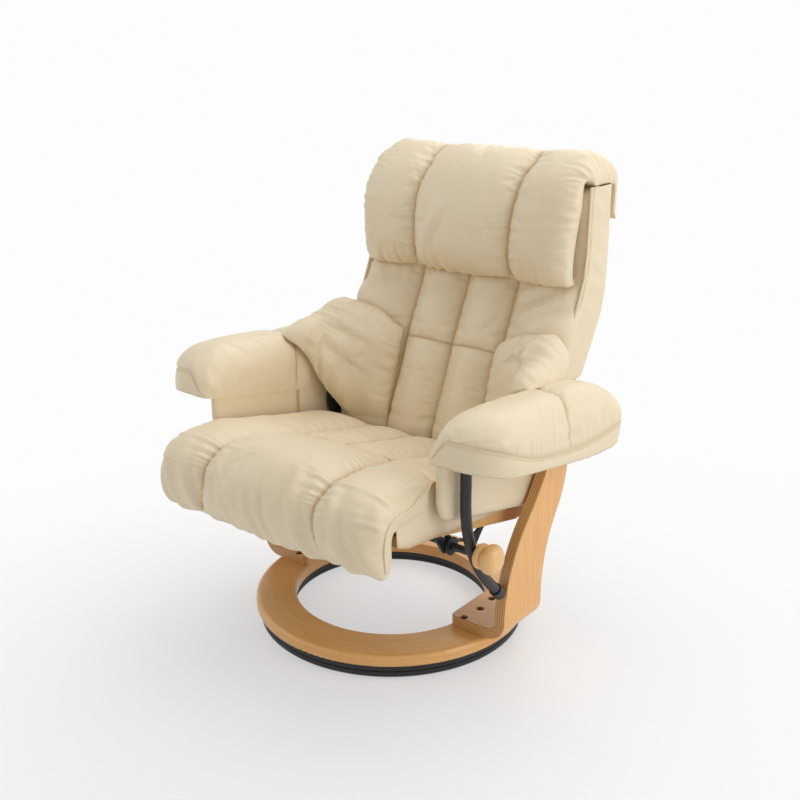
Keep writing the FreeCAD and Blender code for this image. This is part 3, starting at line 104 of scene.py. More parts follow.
def stations(marks, step, soft_first, soft_last, rim_lines=7):
    """Grid lines from the first mark to the last. They pass through every mark, lie about a step
    apart, and close up towards both ends as the points of a quarter circle do seen from above."""
    turn = 1 - np.cos(np.linspace(0, math.pi / 2, rim_lines + 1))
    stops = [marks[0] + soft_first, *marks[1:-1], marks[-1] - soft_last]
    runs = [marks[0] + soft_first * turn[:-1]]
    for low, high in zip(stops[:-1], stops[1:]):
        runs.append(np.linspace(low, high, max(1, round((high - low) / step)), endpoint=False))
    runs.append(marks[-1] - soft_last * turn[::-1])
    return np.concatenate(runs)


def rim(distance, radius, power=2.0):
    """Rise from 0 at a rim to 1 at a radius from it, along a quarter of a superellipse."""
    left = 1 - np.clip(distance / radius, 0, 1)
    return np.maximum(1 - left**power, 0) ** (1 / power)


def ease(value, low, high):
    """0 below low, 1 above high, and a smooth cubic step between them."""
    t = np.clip((value - low) / (high - low), 0, 1)
    return t * t * (3 - 2 * t)


def ripple(place, pitch, seed):
    """Uneven waves between about -1 and 1: the mean of six sines near the pitch, whose lengths
    and starts the seed picks."""
    pick = np.random.default_rng(seed)
    lengths = pitch * pick.uniform(0.62, 1.7, 6)
    starts = pick.uniform(0, 2 * math.pi, 6)
    return np.sin(2 * math.pi * place[..., None] / lengths + starts).mean(-1) * 1.9


def gathers(along, away, pitch, reach, seed):
    """Folds that leave a seam at right angles: ripples along it, which wander and die out over
    the reach, and which start a few millimetres from the stitches."""
    drift = 0.25 * away * ripple(along, pitch * 6, seed + 1)
    reach = reach * (1 + 0.45 * ripple(along, pitch * 2.3, seed + 2))
    return ripple(along + drift, pitch, seed) * np.exp(-away / reach) * (1 - np.exp(-away / 2.5))


def valley(distance, deep, broad, narrow=7.0, wide=34.0):
    """How far a sewn seam pulls the leather in: a sharp crease on a wide hollow."""
    return deep * np.exp(-distance / narrow) + broad * np.exp(-distance / wide)


def fold(points, start, end, width):
    """A drawn fold between two places in space: a valley along the line, a ridge above it, both
    strongest halfway. The distance from the line is signed by height, and each cross section is a
    bell curve less a second one beside it."""
    start, end = np.asarray(start, float), np.asarray(end, float)
    way = end - start
    reach = np.linalg.norm(way)
    way = way / reach
    from_start = points - start
    share = (from_start @ way) / reach
    off = from_start - (from_start @ way)[..., None] * way
    sign = np.sign(off[..., 2])
    gap = np.linalg.norm(off, axis=-1) * sign / width
    swell = 0.9 * np.exp(-(gap - 1.7) ** 2) - np.exp(-gap**2)
    return swell * np.sin(np.clip(share, 0, 1) * math.pi) ** 0.7


def facing(grid):
    """Unit normals of a grid of points: across its columns times down its rows."""
    normal = np.cross(np.gradient(grid, axis=1), np.gradient(grid, axis=0))
    return normal / np.maximum(np.linalg.norm(normal, axis=-1, keepdims=True), 1e-9)


def walls(profile, rows, x, share_x, rim_share):
    """Outer and inner wall of a cushion from a profile of outer y, z and inner y, z. The walls
    part from a common rim line by a share of their distance, 0 at the rim and 1 inside."""
    line = spline(profile, rows / rows[-1])[:, None, :]
    outer, inner = line[..., :2], line[..., 2:]
    middle = inner + (outer - inner) * rim_share
    full = np.broadcast_arrays(x[..., None], outer)[0][..., :1]
    front = np.concatenate([full, middle + (outer - middle) * share_x[0][..., None]], -1)
    back = np.concatenate([full, middle + (inner - middle) * share_x[1][..., None]], -1)
    return front, back


# Meshes

def quads(rows, cols, first=0):
    """Corners of the faces between neighbouring points of a grid, numbered from the first."""
    at = first + np.arange(rows * cols).reshape(rows, cols)
    return np.stack([at[:-1, :-1], at[:-1, 1:], at[1:, 1:], at[1:, :-1]], -1).reshape(-1, 4)


def cover(name, grids, body, slot, crease_shade=None, closed=True):
    """Mesh object from grids of points in millimetres. Points that coincide become one, and the
    faces of a closed cover point outwards. Crease shade is a value on each point, 1 in a seam,
    where the leather is painted darker as shade."""
    points, faces, start = [], [], 0
    for grid in grids:
        rows, cols = grid.shape[:2]
        faces.append(quads(rows, cols, start))
        points.append(grid.reshape(-1, 3))
        start += rows * cols
    mesh = bpy.data.meshes.new(name)
    mesh.from_pydata((np.concatenate(points) * MM).tolist(), [], np.concatenate(faces).tolist())
    if crease_shade is not None:
        layer = mesh.attributes.new("crease_shade", "FLOAT", "POINT")
        layer.data.foreach_set("value", np.concatenate([c.ravel() for c in crease_shade]).astype("f"))
    tidy(mesh, closed)
    piece = bpy.data.objects.new(name, mesh)
    bpy.context.scene.collection.objects.link(piece)
    piece["rides"] = body
    piece["slot"] = slot
    return piece


def tidy(mesh, closed):
    """Joins points that coincide, drops faces without area and turns a closed skin outwards."""
    work = bmesh.new()
    work.from_mesh(mesh)
    bmesh.ops.remove_doubles(work, verts=work.verts, dist=2e-6)
    bmesh.ops.dissolve_degenerate(work, edges=work.edges, dist=1e-7)
    if closed:
        bmesh.ops.recalc_face_normals(work, faces=work.faces)
    work.to_mesh(mesh)
    work.free()
    mesh.shade_smooth()


def stuff(grid, held, pressure, spare, cap):
    """Fills a wall of leather as padding does: a cloth simulation presses it outwards while its
    seams and rim stay held. The leather is a share longer than its pattern, which gathers it at
    the seams. No point moves further than the cap, in millimetres."""
    rows, cols = grid.shape[:2]
    held = held.copy()
    held[[0, -1]] = True
    held[:, [0, -1]] = True
    mesh = bpy.data.meshes.new("pattern")
    mesh.from_pydata((grid.reshape(-1, 3) * MM).tolist(), [], quads(rows, cols).tolist())
    wall = bpy.data.objects.new("pattern", mesh)
    bpy.context.scene.collection.objects.link(wall)
    wall.vertex_groups.new(name="held").add(np.flatnonzero(held).tolist(), 1.0, "REPLACE")
    cloth = wall.modifiers.new("cloth", "CLOTH")
    leather = cloth.settings
    leather.quality = 4
    leather.mass = 0.3
    leather.tension_stiffness = leather.compression_stiffness = 15
    leather.shear_stiffness = 8
    leather.bending_stiffness = 0.4
    leather.use_pressure = True
    leather.uniform_pressure_force = pressure
    leather.vertex_group_mass = "held"
    leather.shrink_min = -spare
    leather.effector_weights.gravity = 0
    cloth.collision_settings.use_collision = False
    cloth.point_cache.frame_end = CLOTH_FRAMES
    for step in range(1, CLOTH_FRAMES + 1):
        bpy.context.scene.frame_set(step)
    moved = np.empty(rows * cols * 3, "f")
    solved = wall.evaluated_get(bpy.context.evaluated_depsgraph_get())
    solved.data.vertices.foreach_get("co", moved)
    bpy.data.objects.remove(wall)
    bpy.data.meshes.remove(mesh)
    bpy.context.scene.frame_set(1)
    move = moved.reshape(grid.shape) / MM - grid
    move[held] = 0
    far = np.linalg.norm(move, axis=-1, keepdims=True)
    return grid + move * cap * np.tanh(far / cap) / np.maximum(far, 1e-6)


def rounded(piece):
    """One subdivision, which rounds the folds between the grid's points."""
    smooth = piece.modifiers.new("smooth", "SUBSURF")
    smooth.levels = smooth.render_levels = 1
    return piece


def cushion(name, front, back, body, crease_shade):
    """Padded piece from a front wall, which has the creases and their painted shade, and a plain
    back wall.
    """
    return rounded(cover(name, [front, back], body, "leather", [crease_shade, 0 * crease_shade]))


def tube(path, radius, sides=8):
    """Grid of a round tube along a path of points: at each point a ring stands square to the
    path, turned from a fixed upright so that it doesn't twist. The ends close to a point."""
    ahead = np.gradient(path, axis=0)
    ahead /= np.linalg.norm(ahead, axis=1, keepdims=True)
    upright = np.broadcast_to([0.31, 0.17, 0.93], path.shape)
    side = np.cross(ahead, upright)
    side /= np.linalg.norm(side, axis=1, keepdims=True)
    other = np.cross(ahead, side)
    turn = np.linspace(0, 2 * math.pi, sides + 1)[None, :, None]
    ring = path[:, None] + radius * (np.cos(turn) * side[:, None] + np.sin(turn) * other[:, None])
    ring[:, -1] = ring[:, 0]
    first = np.broadcast_to(path[:1, None], ring[:1].shape)
    last = np.broadcast_to(path[-1:, None], ring[:1].shape)
    return np.concatenate([first, ring, last])


def even_path(path, count):
    """The path's points at even steps of its length."""
    marks = marks_of(path)
    at = np.linspace(0, marks[-1], count)
    return np.stack([np.interp(at, marks, path[:, i]) for i in range(3)], -1)


def piping(name, path, body, radius=2.3):
    """Corded piping: a round tube along a seam."""
    fine = even_path(path, int(marks_of(path)[-1] / 4))
    return cover(name, [tube(fine, radius)], body, "leather")


def stitches(name, path, body, pitch=6.0, radius=0.55):
    """Topstitching: a row of short threads along a path. Each is a tube over three fifths of the
    pitch, and tapers to a point at both ends."""
    fine = even_path(path, int(marks_of(path)[-1] / pitch) * 5 + 1)
    threads = [tube(fine[i:i + 4], radius, 5) for i in range(0, len(fine) - 4, 5)]
    return cover(name, threads, body, "thread")


# Seat cushion

SEAT_PROFILE = [
    # outer y, z and inner y, z, from the lip under the front edge to the rear
    (-380, 313, -366, 313), (-406, 322, -346, 319), (-424, 352, -336, 345),
    (-429, 405, -335, 372), (-417, 447, -334, 384), (-376, 477, -330, 387),
    (-302, 485, -298, 384), (-205, 469, -205, 375), (-110, 448, -110, 366),
    (-10, 427, -10, 357), (66, 411, 66, 350), (108, 393, 110, 346)]
SEAT_HALF, SEAT_FRONT_HALF, SEAT_SEAM, SEAT_CROSS_Y = 285, 298, 150, -149
SEAT_RIM = 48


def make_seat():
    """Seat cushion in three lengths: side seams that run over the front edge, a cross seam
    between them and a centre seam behind it."""
    length = length_of(SEAT_PROFILE)
    fine = np.linspace(0, length, 400)
    depth = spline(SEAT_PROFILE, fine / length)[:, 0]
    cross = float(np.interp(SEAT_CROSS_Y, depth[80:], fine[80:]))
    rows = stations([0, cross, length], WALL_STEP, 26, 26)
    marks = [-SEAT_FRONT_HALF, -SEAT_SEAM, 0, SEAT_SEAM, SEAT_FRONT_HALF]
    cols = stations(marks, WALL_STEP, SEAT_RIM, SEAT_RIM)
    y = np.interp(rows, fine, depth)[:, None]
    corner = 34 * (1 - rim(rows, 60))[:, None]
    half = SEAT_HALF + (SEAT_FRONT_HALF - SEAT_HALF) * ease(-y, 215, 262) - corner
    half = half - 5 * np.sin(np.clip((y + 262) / 377, 0, 1) * math.pi)
    seam = SEAT_SEAM - 20 * ease(y, -330, -140) + 26 * (1 - ease(rows, 0, 125))[:, None]
    near = np.abs(cols)[None]
    outside = (near - SEAT_SEAM) / (SEAT_FRONT_HALF - SEAT_SEAM)
    x = np.where(near < SEAT_SEAM, near / SEAT_SEAM * seam, seam + outside * (half - seam))
    x = x * np.sign(cols)
    ends = (rim(rows, 30) * rim(length - rows, 26))[:, None]
    share = rim(half - np.abs(x), SEAT_RIM, 2.3) * ends
    side_line = (0.5 + 0.36 * ease(y, -330, -225))[..., None]
    front, back = walls(SEAT_PROFILE, rows, x, (share, share), side_line)
    along = rows[:, None] + 0 * x
    to_side = np.abs(np.abs(x) - seam)
    to_cross = np.hypot(along - cross, np.maximum(np.abs(x) - seam, 0))
    to_centre = np.hypot(x, np.maximum(cross - along, 0))
    nose = ease(along, 60, 140) * (1 - ease(along, 270, 420))
    dip = np.maximum.reduce([
        valley(to_side, 8, 11), valley(to_cross, 3.5, 5), valley(to_centre, 3, 4)])
    folds = (0.6 + 5.0 * nose) * gathers(along, to_side, 16, 42, 3)
    folds += 1.6 * gathers(x, np.abs(along - cross), 24, 30, 5) * (np.abs(x) < SEAT_SEAM)
    folds += 2.0 * nose * gathers(along, half - np.abs(x), 24, 60, 7)
    sag = 3.6 * (1 - ease(along, 150, 240)) * ripple(x + 0.3 * along, 36, 9)
    inside = rim(half - np.abs(x), 40) * ends
    slim = 6 + 6 * ease(np.abs(x), 190, 280) * (1 - ease(along, 300, 420))
    front = front + facing(front) * ((folds + sag - dip * 0.8 - slim) * inside)[..., None]
    nearest = np.minimum.reduce([to_side, to_cross, to_centre])
    # Painted shade along the side, cross and centre seams of the front wall
    crease_shade = np.exp(-nearest / 2.5) * inside
    held = (nearest < 1.5) | (share < 0.02)
    front = stuff(front, held, pressure=4.0, spare=0.035, cap=10)
    for name, column in (("left", -1), ("right", 0)):
        edge = front[:, column]
        piping("seat_piping_" + name, edge[rows > 46], "seat")
        make_facing(name, edge)
    return cushion("seat_cushion_leather", front, back, "seat", crease_shade)


# Lower edge of the facing, in y and z
FACING_LOW = [(-343, 366), (-300, 352), (-196, 341), (-60, 325), (95, 311)]
FACING_FRONT, FACING_REAR = -338, 95


def make_facing(name, edge):
    """Leather facing over the side rail: from the cushion's side seam down to a slanting lower
    edge. Between these two lines both faces swell a little."""
    order = np.argsort(edge[12:, 1])
    above = edge[12:][order]
    y = stations([FACING_FRONT, FACING_REAR], 7, 6, 6)
    v = stations([0, 1], 0.07, 0.12, 0.12)
    top = np.interp(y, above[:, 1], above[:, 2]) - 2
    low = np.interp(y, *np.array(FACING_LOW).T)
    z = low + (top - low) * v[:, None]
    across = y + 5 * (1 - v[:, None]) * (1 - ease(y, FACING_FRONT, -300))
    swell = rim(np.minimum(y - FACING_FRONT, FACING_REAR - y), 8)[None]
    swell = swell * rim(np.minimum(v, 1 - v), 0.12)[:, None]
    wave = 0.5 * ripple(y, 70, 13)[None] * swell
    side = math.copysign(1, edge[40, 0])
    faces = [np.stack([side * x, across + 0 * x, z], -1)
             for x in (287 + 2.6 * swell + wave, 287 - 1.6 * swell)]
    # Painted shade towards the seam at the top and the lower edge
    crease_shade = np.exp(-np.minimum(v, 1 - v) * 12)[:, None] + 0 * z
    rounded(cover("seat_facing_" + name, faces, "seat", "leather", [crease_shade, crease_shade]))


# Back cushion, its shell and piping

BACK_PROFILE = [
    # outer y, z and inner y, z, from the foot to the top
    (158, 352, 162, 352), (139, 368, 181, 362), (147, 420, 213, 420), (179, 500, 258, 500),
    (212, 580, 302, 580), (244, 655, 344, 655), (272, 715, 366, 712), (292, 765, 372, 765),
    (298, 850, 373, 850), (303, 946, 373, 948), (338, 958, 342, 958)]
BACK_HALF, BACK_LOW_HALF, BACK_SEAM, BACK_CROSS_Z = 296, 277, 133, 588


def make_back():
    """Back cushion: a centre seam, a seam on each side, and a cross seam between those."""
    length = length_of(BACK_PROFILE)
    fine = np.linspace(0, length, 400)
    height = spline(BACK_PROFILE, fine / length)[:, 1]
    cross = float(np.interp(BACK_CROSS_Z, height, fine))
    rows = stations([0, cross, length], WALL_STEP, 22, 18)
    cols = stations([-BACK_HALF, -BACK_SEAM, 0, BACK_SEAM, BACK_HALF], WALL_STEP, 30, 30)
    z = np.interp(rows, fine, height)[:, None]
    half = BACK_LOW_HALF + (BACK_HALF - BACK_LOW_HALF) * ease(z, 531, 545)
    half = half + 0.9 * ease(z, 640, 660)
    near = np.abs(cols)[None]
    outside = (near - BACK_SEAM) / (BACK_HALF - BACK_SEAM)
    x = np.where(near < BACK_SEAM, near + 0 * z, BACK_SEAM + outside * (half - BACK_SEAM))
    x = x * np.sign(cols)
    ends = (rim(rows, 26) * rim(length - rows, 22))[:, None]
    shares = (rim(half - np.abs(x), 44, 2.0) * ends, rim(half - np.abs(x), 9) * ends)
    front, back = walls(BACK_PROFILE, rows, x, shares, 0.78)
    along = rows[:, None] + 0 * x
    open_part = 1 - ease(z, 725, 765)
    to_side = np.abs(np.abs(x) - BACK_SEAM)
    to_cross = np.hypot(along - cross, np.maximum(np.abs(x) - BACK_SEAM, 0))
    to_centre = np.abs(x)
    dip = np.maximum.reduce([
        valley(to_side, 11, 15), valley(to_centre, 11, 14), valley(to_cross, 4, 4)])
    middle = np.sin(np.clip(np.abs(np.abs(x) - 66) / 66, 0, 1) * math.pi / 2 + math.pi / 2)
    folds = 1.3 * gathers(along, np.minimum(to_side, to_centre), 22, 22, 21)
    folds += 2.2 * gathers(x, np.abs(length - 235 - along), 26, 60, 23)
    folds += 4 * fold(front, (96, 190, 560), (118, 285, 730), 9) * (x > 0)
    folds += 5 * fold(front, (160, 228, 640), (285, 268, 700), 12) * (np.abs(x) > BACK_SEAM)
    folds += 4 * fold(front, (150, 250, 690), (270, 290, 740), 12) * (np.abs(x) > BACK_SEAM)
    inside = rim(half - np.abs(x), 40) * ends
    shoulder = 22 * np.exp(-((z - 652) / 46) ** 2) * ease(np.abs(x), 140, 225)
    relief = 9 + 10 * middle + shoulder + folds - dip
    relief = relief * inside * open_part - 3 * (1 - open_part) * inside
    front = front + facing(front) * relief[..., None]
    nearest = np.minimum.reduce([to_side, to_cross, to_centre])
    under_wing = (np.abs(x) > BACK_SEAM + 12) & (z < 600 + 0.2 * (np.abs(x) - BACK_SEAM))
    held = (nearest < 1.5) | (shares[0] < 0.05) | (z > 765) | under_wing
    front = stuff(front, held, pressure=4.0, spare=0.02, cap=10)
    # Painted shade along the side, cross and centre seams
    crease_shade = np.exp(-nearest / 2.5) * inside
    return cushion("back_cushion_leather", front, back, "back", crease_shade)


SHELL_REAR = [
    # rear y, z from the foot to the top
    (206, 346), (248, 420), (289, 493), (331, 567), (369, 634), (392, 686), (402, 732),
    (404.5, 780), (404.5, 870), (404.5, 958)]
SHELL_FRONT = [
    # y, z of the piping on the side
    (202, 532), (216, 572), (232, 612), (243, 640), (258, 680), (277, 722), (294, 765),
    (301, 820), (302, 890), (303, 956)]


def make_shell():
    """Leather shell behind the back: across the rear and round both sides to the piping. A
    level cut through it is a U with round corners, which follows the bent rear line."""
    rows = np.linspace(0, 1, 110)
    rear = spline(SHELL_REAR, rows)
    z = rear[:, 1]
    sides = ease(z, 531, 548)
    half = BACK_LOW_HALF + 5 + (BACK_HALF - BACK_LOW_HALF - 5.5) * sides + 1.4 * ease(z, 645, 665)
    front = np.interp(z, [p[1] for p in SHELL_FRONT], [p[0] for p in SHELL_FRONT])
    front = rear[:, 0] - 14 + (front - rear[:, 0] + 14) * sides
    corner = 16
    turn = np.linspace(0, math.pi / 2, 9)
    flank = np.linspace(0, 1, 26)[:-1]
    middle = np.linspace(1, 0, 48)[1:-1]
    bow = 3.5 * ease(z, 360, 420)[:, None]
    low = front[:, None] + (rear[:, :1] - corner - front[:, None]) * flank
    swell = 2.4 * sides * ease(z, 650, 690)
    wave = 1.0 * ripple(z[:, None] + 0.6 * low, 60, 83) * ease(z, 660, 700)[:, None]
    side_x = half[:, None] + (swell[:, None] + wave) * np.sin(flank * math.pi)
    arc_y = rear[:, :1] - corner + corner * np.sin(turn)
    arc_x = half[:, None] - corner + corner * np.cos(turn)
    rest_x = (half[:, None] - corner) * middle
    rest_y = rear[:, :1] + bow * (1 - middle**2)
    right_x = np.concatenate([side_x, arc_x, rest_x], 1)
    right_y = np.concatenate([low, arc_y, rest_y], 1)
    centre = rear[:, :1] + bow
    x = np.concatenate([right_x, 0 * centre, -right_x[:, ::-1]], 1)
    y = np.concatenate([right_y, centre, right_y[:, ::-1]], 1)
    outer = np.stack([x, y, z[:, None] + 0 * x], -1)
    thick = 3.0
    normal = facing(outer)
    toward = np.sign(normal[..., 1].mean())
    inner = outer - normal * thick * toward
    inner[-1, :, 2] = outer[-1, :, 2] - 1.5
    ends = [np.stack([outer[i], inner[i]]) for i in (0, -1)]
    lips = [np.stack([outer[:, i], inner[:, i]]) for i in (0, -1)]
    made = cover("back_shell_leather", [outer, inner, *ends, *lips], "back", "leather")
    for name, column, side in (("left", 0, 1), ("right", -1, -1)):
        edge = outer[sides > 0.99, column]
        piping("back_piping_" + name, edge + [side * 0.8, -1.5, 0], "back", 2.6)
        for step in (8, 13):
            row = edge[edge[:, 2] > 640] + [side * 1.2, step, 0]
            stitches("back_stitches_%s_%d" % (name, step), row, "back")
    hem = np.stack([outer[0, :, 0], outer[0, :, 1] + 0.6, outer[0, :, 2] + 1], -1)
    piping("back_hem", hem, "back", 2.2)
    return made


# Head pillow

HEAD_PROFILE = [
    # outer y, z and inner y, z, from the lower front edge over the top to the flap behind
    (279, 741, 281, 742), (258, 744, 289, 750), (244, 763, 292, 768), (236, 800, 294, 800),
    (239, 850, 297, 850), (248, 903, 299, 900), (264, 943, 301, 932), (292, 982, 303, 958),
    (332, 1013, 330, 962), (376, 1026, 376, 962.5), (411, 1015, 403, 961), (430, 986, 406.5, 952),
    (433, 940, 406.5, 925), (431, 896, 407, 895), (422, 880, 417, 880)]
HEAD_HALF, HEAD_SEAM = 290, 133


def make_head():
    """Head pillow in three sections. It hooks over the top of the back and is gathered at its
    lower edge and towards both ends."""
    length = length_of(HEAD_PROFILE)
    rows = stations([0, length], 5, 26, 14)
    cols = stations([-HEAD_HALF, -HEAD_SEAM, HEAD_SEAM, HEAD_HALF], 5, 40, 40)
    line = spline(HEAD_PROFILE, rows / length)
    along = rows[:, None] + 0 * cols[None]
    flap = ease(rows, 395, 440)[:, None]
    bulge = np.sin(np.clip(rows / 300, 0, 1) * math.pi)[:, None]
    waist = 8 * np.sin(np.clip(rows / 200, 0, 1) * math.pi)[:, None]
    flare = 9 * ease(rows, 270, 322)[:, None] + 5 * np.exp(-((rows - 318) / 30) ** 2)[:, None]
    half = HEAD_HALF - 8 + 8 * bulge + 8 * flap - waist + flare
    x = cols[None] / HEAD_HALF * half
    seam = HEAD_SEAM / HEAD_HALF * half
    ends = (rim(rows, 26) * rim(length - rows, 16))[:, None]
    from_end = half - np.abs(x)
    share = rim(from_end, 42 - 20 * flap, 2.1) * ends
    line_share = 0.45 - 0.44 * ease(rows, 285, 325)[:, None, None]
    front, back = walls(HEAD_PROFILE, rows, x, (share, share), line_share)
    scallop = 7 * np.cos(np.clip(np.abs(np.abs(x) - seam) / 120, 0, 1) * math.pi / 2) ** 2
    corner = (24 * ease(np.abs(x), 205, half) + scallop) * (1 - rim(rows, 60))[:, None]
    sink = ease(np.abs(x), 250, 284) * ease(rows, 300, 330)[:, None]
    corner = corner - 4.5 * sink * (1 - ease(rows, 430, 450))[:, None]
    front[..., 2] += corner
    back[..., 2] += corner
    to_side = np.abs(np.abs(x) - seam)
    dip = valley(to_side, 8, 14)
    body = 1 - ease(along, 330, 400)
    folds = 3.6 * gathers(along, from_end, 16, 40, 31) * body * ease(along, 40, 160)
    folds += 3.4 * gathers(x, along, 24, 66, 33)
    folds += 1.8 * gathers(along, to_side, 22, 28, 35) * body
    folds += 5 * fold(front, (-70, 236, 790), (-20, 250, 900), 13)
    folds += 5 * fold(front, (60, 236, 780), (35, 262, 930), 14)
    inside = rim(from_end, 14) * ends
    relief = (10 * bulge + folds - dip * (0.25 + 0.75 * body)) * inside
    front = front + facing(front) * relief[..., None]
    # Painted shade along the two seams between the sections
    crease_shade = np.exp(-to_side / 3) * inside
    held = (to_side < 1.5) | (share < 0.05) | (along > 400)
    front = stuff(front, held, pressure=4.0, spare=0.035, cap=10)
    return cushion("head_pillow_leather", front, back, "back", crease_shade)


# Side wings of the back, which rest on the arms

# The four edges of the left one, in space
WING_SEAM = [(133, 212, 604), (160, 203, 623), (200, 206, 643), (250, 198, 655), (283, 196, 656),
             (299, 222, 632)]
WING_INNER = [(133, 150, 372), (133, 158, 420), (133, 180, 482), (133, 200, 550), (133, 212, 604)]
WING_OUTER = [(345, 14, 595), (353, 66, 592), (347, 125, 592), (330, 180, 611), (299, 222, 632)]
WING_LOWER = [
    (133, 150, 372), (222, 136, 374), (258, 96, 432), (281, 58, 505), (289, 36, 548),
    (298, 18, 572), (318, 8, 585), (345, 14, 593)]

# About how wide and tall one is, which gives its gathers their scale
WING_WIDE, WING_TALL = 300, 280
# Start, end, depth and width of each drawn fold, for the left wing and the right one
WING_FOLDS = {
    1: [((190, 84, 575), (300, 196, 640), 11, 13), ((165, 130, 560), (262, 168, 640), 7, 11),
        ((215, 60, 530), (335, 100, 612), 7, 12), ((250, 40, 500), (345, 70, 600), 6, 10)],
    -1: [((180, 120, 500), (320, 60, 600), 6, 15), ((160, 150, 560), (300, 110, 610), 5, 13),
         ((220, 80, 470), (250, 170, 600), 5, 14)]}


def along_edge(points, share):
    """Points of a smooth 3-D edge at shares of its length."""
    marks = marks_of(points)[:, None]
    return spline(np.concatenate([marks, 0 * marks, points], 1), share)[:, 2:]


def make_wing(name, side):
    """Bolster between four edges. Both walls start as the Coons patch of the edges: the mean of
    the two ways across, less the corners. The front wall then swells towards the sitter and the
    rear wall towards the arm, each by the rims' superellipse."""
    u = stations([0, 1], 0.018, 0.2, 0.22, 9)
    v = stations([0, 1], 0.018, 0.16, 0.16, 9)
    low, high = along_edge(WING_LOWER, u)[None], along_edge(WING_SEAM, u)[None]
    first, last = along_edge(WING_INNER, v)[:, None], along_edge(WING_OUTER, v)[:, None]
    s, t = u[None, :, None], v[:, None, None]
    corners = ((1 - s) * (1 - t) * low[:, :1] + s * (1 - t) * low[:, -1:]
               + (1 - s) * t * high[:, :1] + s * t * high[:, -1:])
    patch = (1 - t) * low + t * high + (1 - s) * first + s * last - corners
    rise = rim(s, 0.36, 1.9) * rim(1 - s, 0.24, 1.9) * rim(t, 0.28, 1.9) * rim(1 - t, 0.42, 1.9)
    outward = ease(s, 0.4, 0.95)
    toward = np.array([-0.36, -0.88, 0.3]) * (1 - outward) + np.array([0.1, -0.3, 0.95]) * outward
    away = np.array([0.1, 0.86, -0.1])
    place_u, place_v = u[None] * WING_WIDE, v[:, None] * WING_TALL
    seed = 41 if side > 0 else 141
    folds = (4.2 * gathers(place_v + 0.8 * place_u, WING_WIDE - place_u, 24, 90, seed)
             + 3.0 * gathers(place_u, place_v, 24, 60, seed + 2)
             + 2.6 * gathers(place_v, place_u, 26, 34, seed + 4)
             + 1.6 * gathers(place_u, WING_TALL - place_v, 22, 20, seed + 6))
    lean = 0.4 * facing(patch) + toward
    toward = lean / np.linalg.norm(lean, axis=-1, keepdims=True)
    front = patch + toward * (36 + 12 * outward) * rise
    for start, end, deep, width in WING_FOLDS[side]:
        folds = folds + deep * fold(front, start, end, width)
    front = front + toward * (folds * rise[..., 0])[..., None]
    back = patch + away * 50 * rise
    front = stuff(front, rise[..., 0] < 0.05, pressure=3.5, spare=0.035, cap=10)
    for wall in (front, back):
        wall[..., 0] *= side
    # Painted shade along the inner edge and the seam at the top
    crease_shade = 0.7 * np.exp(-np.minimum(place_u, WING_TALL - place_v) / 2.5)
    return cushion("wing_leather_" + name, front, back, "back", crease_shade)


# Arms

ARM_TILT = math.radians(9)
ARM_FRONT_Y, ARM_FRONT_Z, ARM_LENGTH, ARM_IN, ARM_OUT = -272, 512.5, 528, 297, 450
# Heights along the arm: of its crown, its seam and its lower edge
ARM_CROWN = [(0, 88), (50, 101), (110, 112), (200, 122), (300, 130), (400, 133), (480, 120),
             (528, 96)]
ARM_SEAM = [(0, 58), (40, 50), (80, 40), (130, 29), (200, 25), (265, 26), (340, 32), (400, 44),
            (460, 58), (528, 72)]
ARM_LOWER = [(0, 4), (60, 0), (120, 0), (200, 0), (280, 0), (400, 4), (470, 14), (528, 34)]
# Corners of the arm seen from above, and how far its top rolls off towards each edge
ARM_CORNER_IN, ARM_CORNER_FRONT, ARM_CORNER_REAR = 25, 92, 76
ARM_ROLL_FRONT, ARM_ROLL_REAR, ARM_ROLL_IN, ARM_ROLL_OUT = 74, 78, 46, 66


def table(points, at):
    """Smooth curve through a table of places and values."""
    points = np.asarray(points, float)
    slopes = np.gradient(points[:, 1], points[:, 0])
    piece = np.clip(np.searchsorted(points[:, 0], at, side="right") - 1, 0, len(points) - 2)
    span = points[piece + 1, 0] - points[piece, 0]
    t = np.clip((at - points[piece, 0]) / span, 0, 1)
    return cubic(t, points[piece, 1], points[piece + 1, 1], span * slopes[piece],
                 span * slopes[piece + 1])


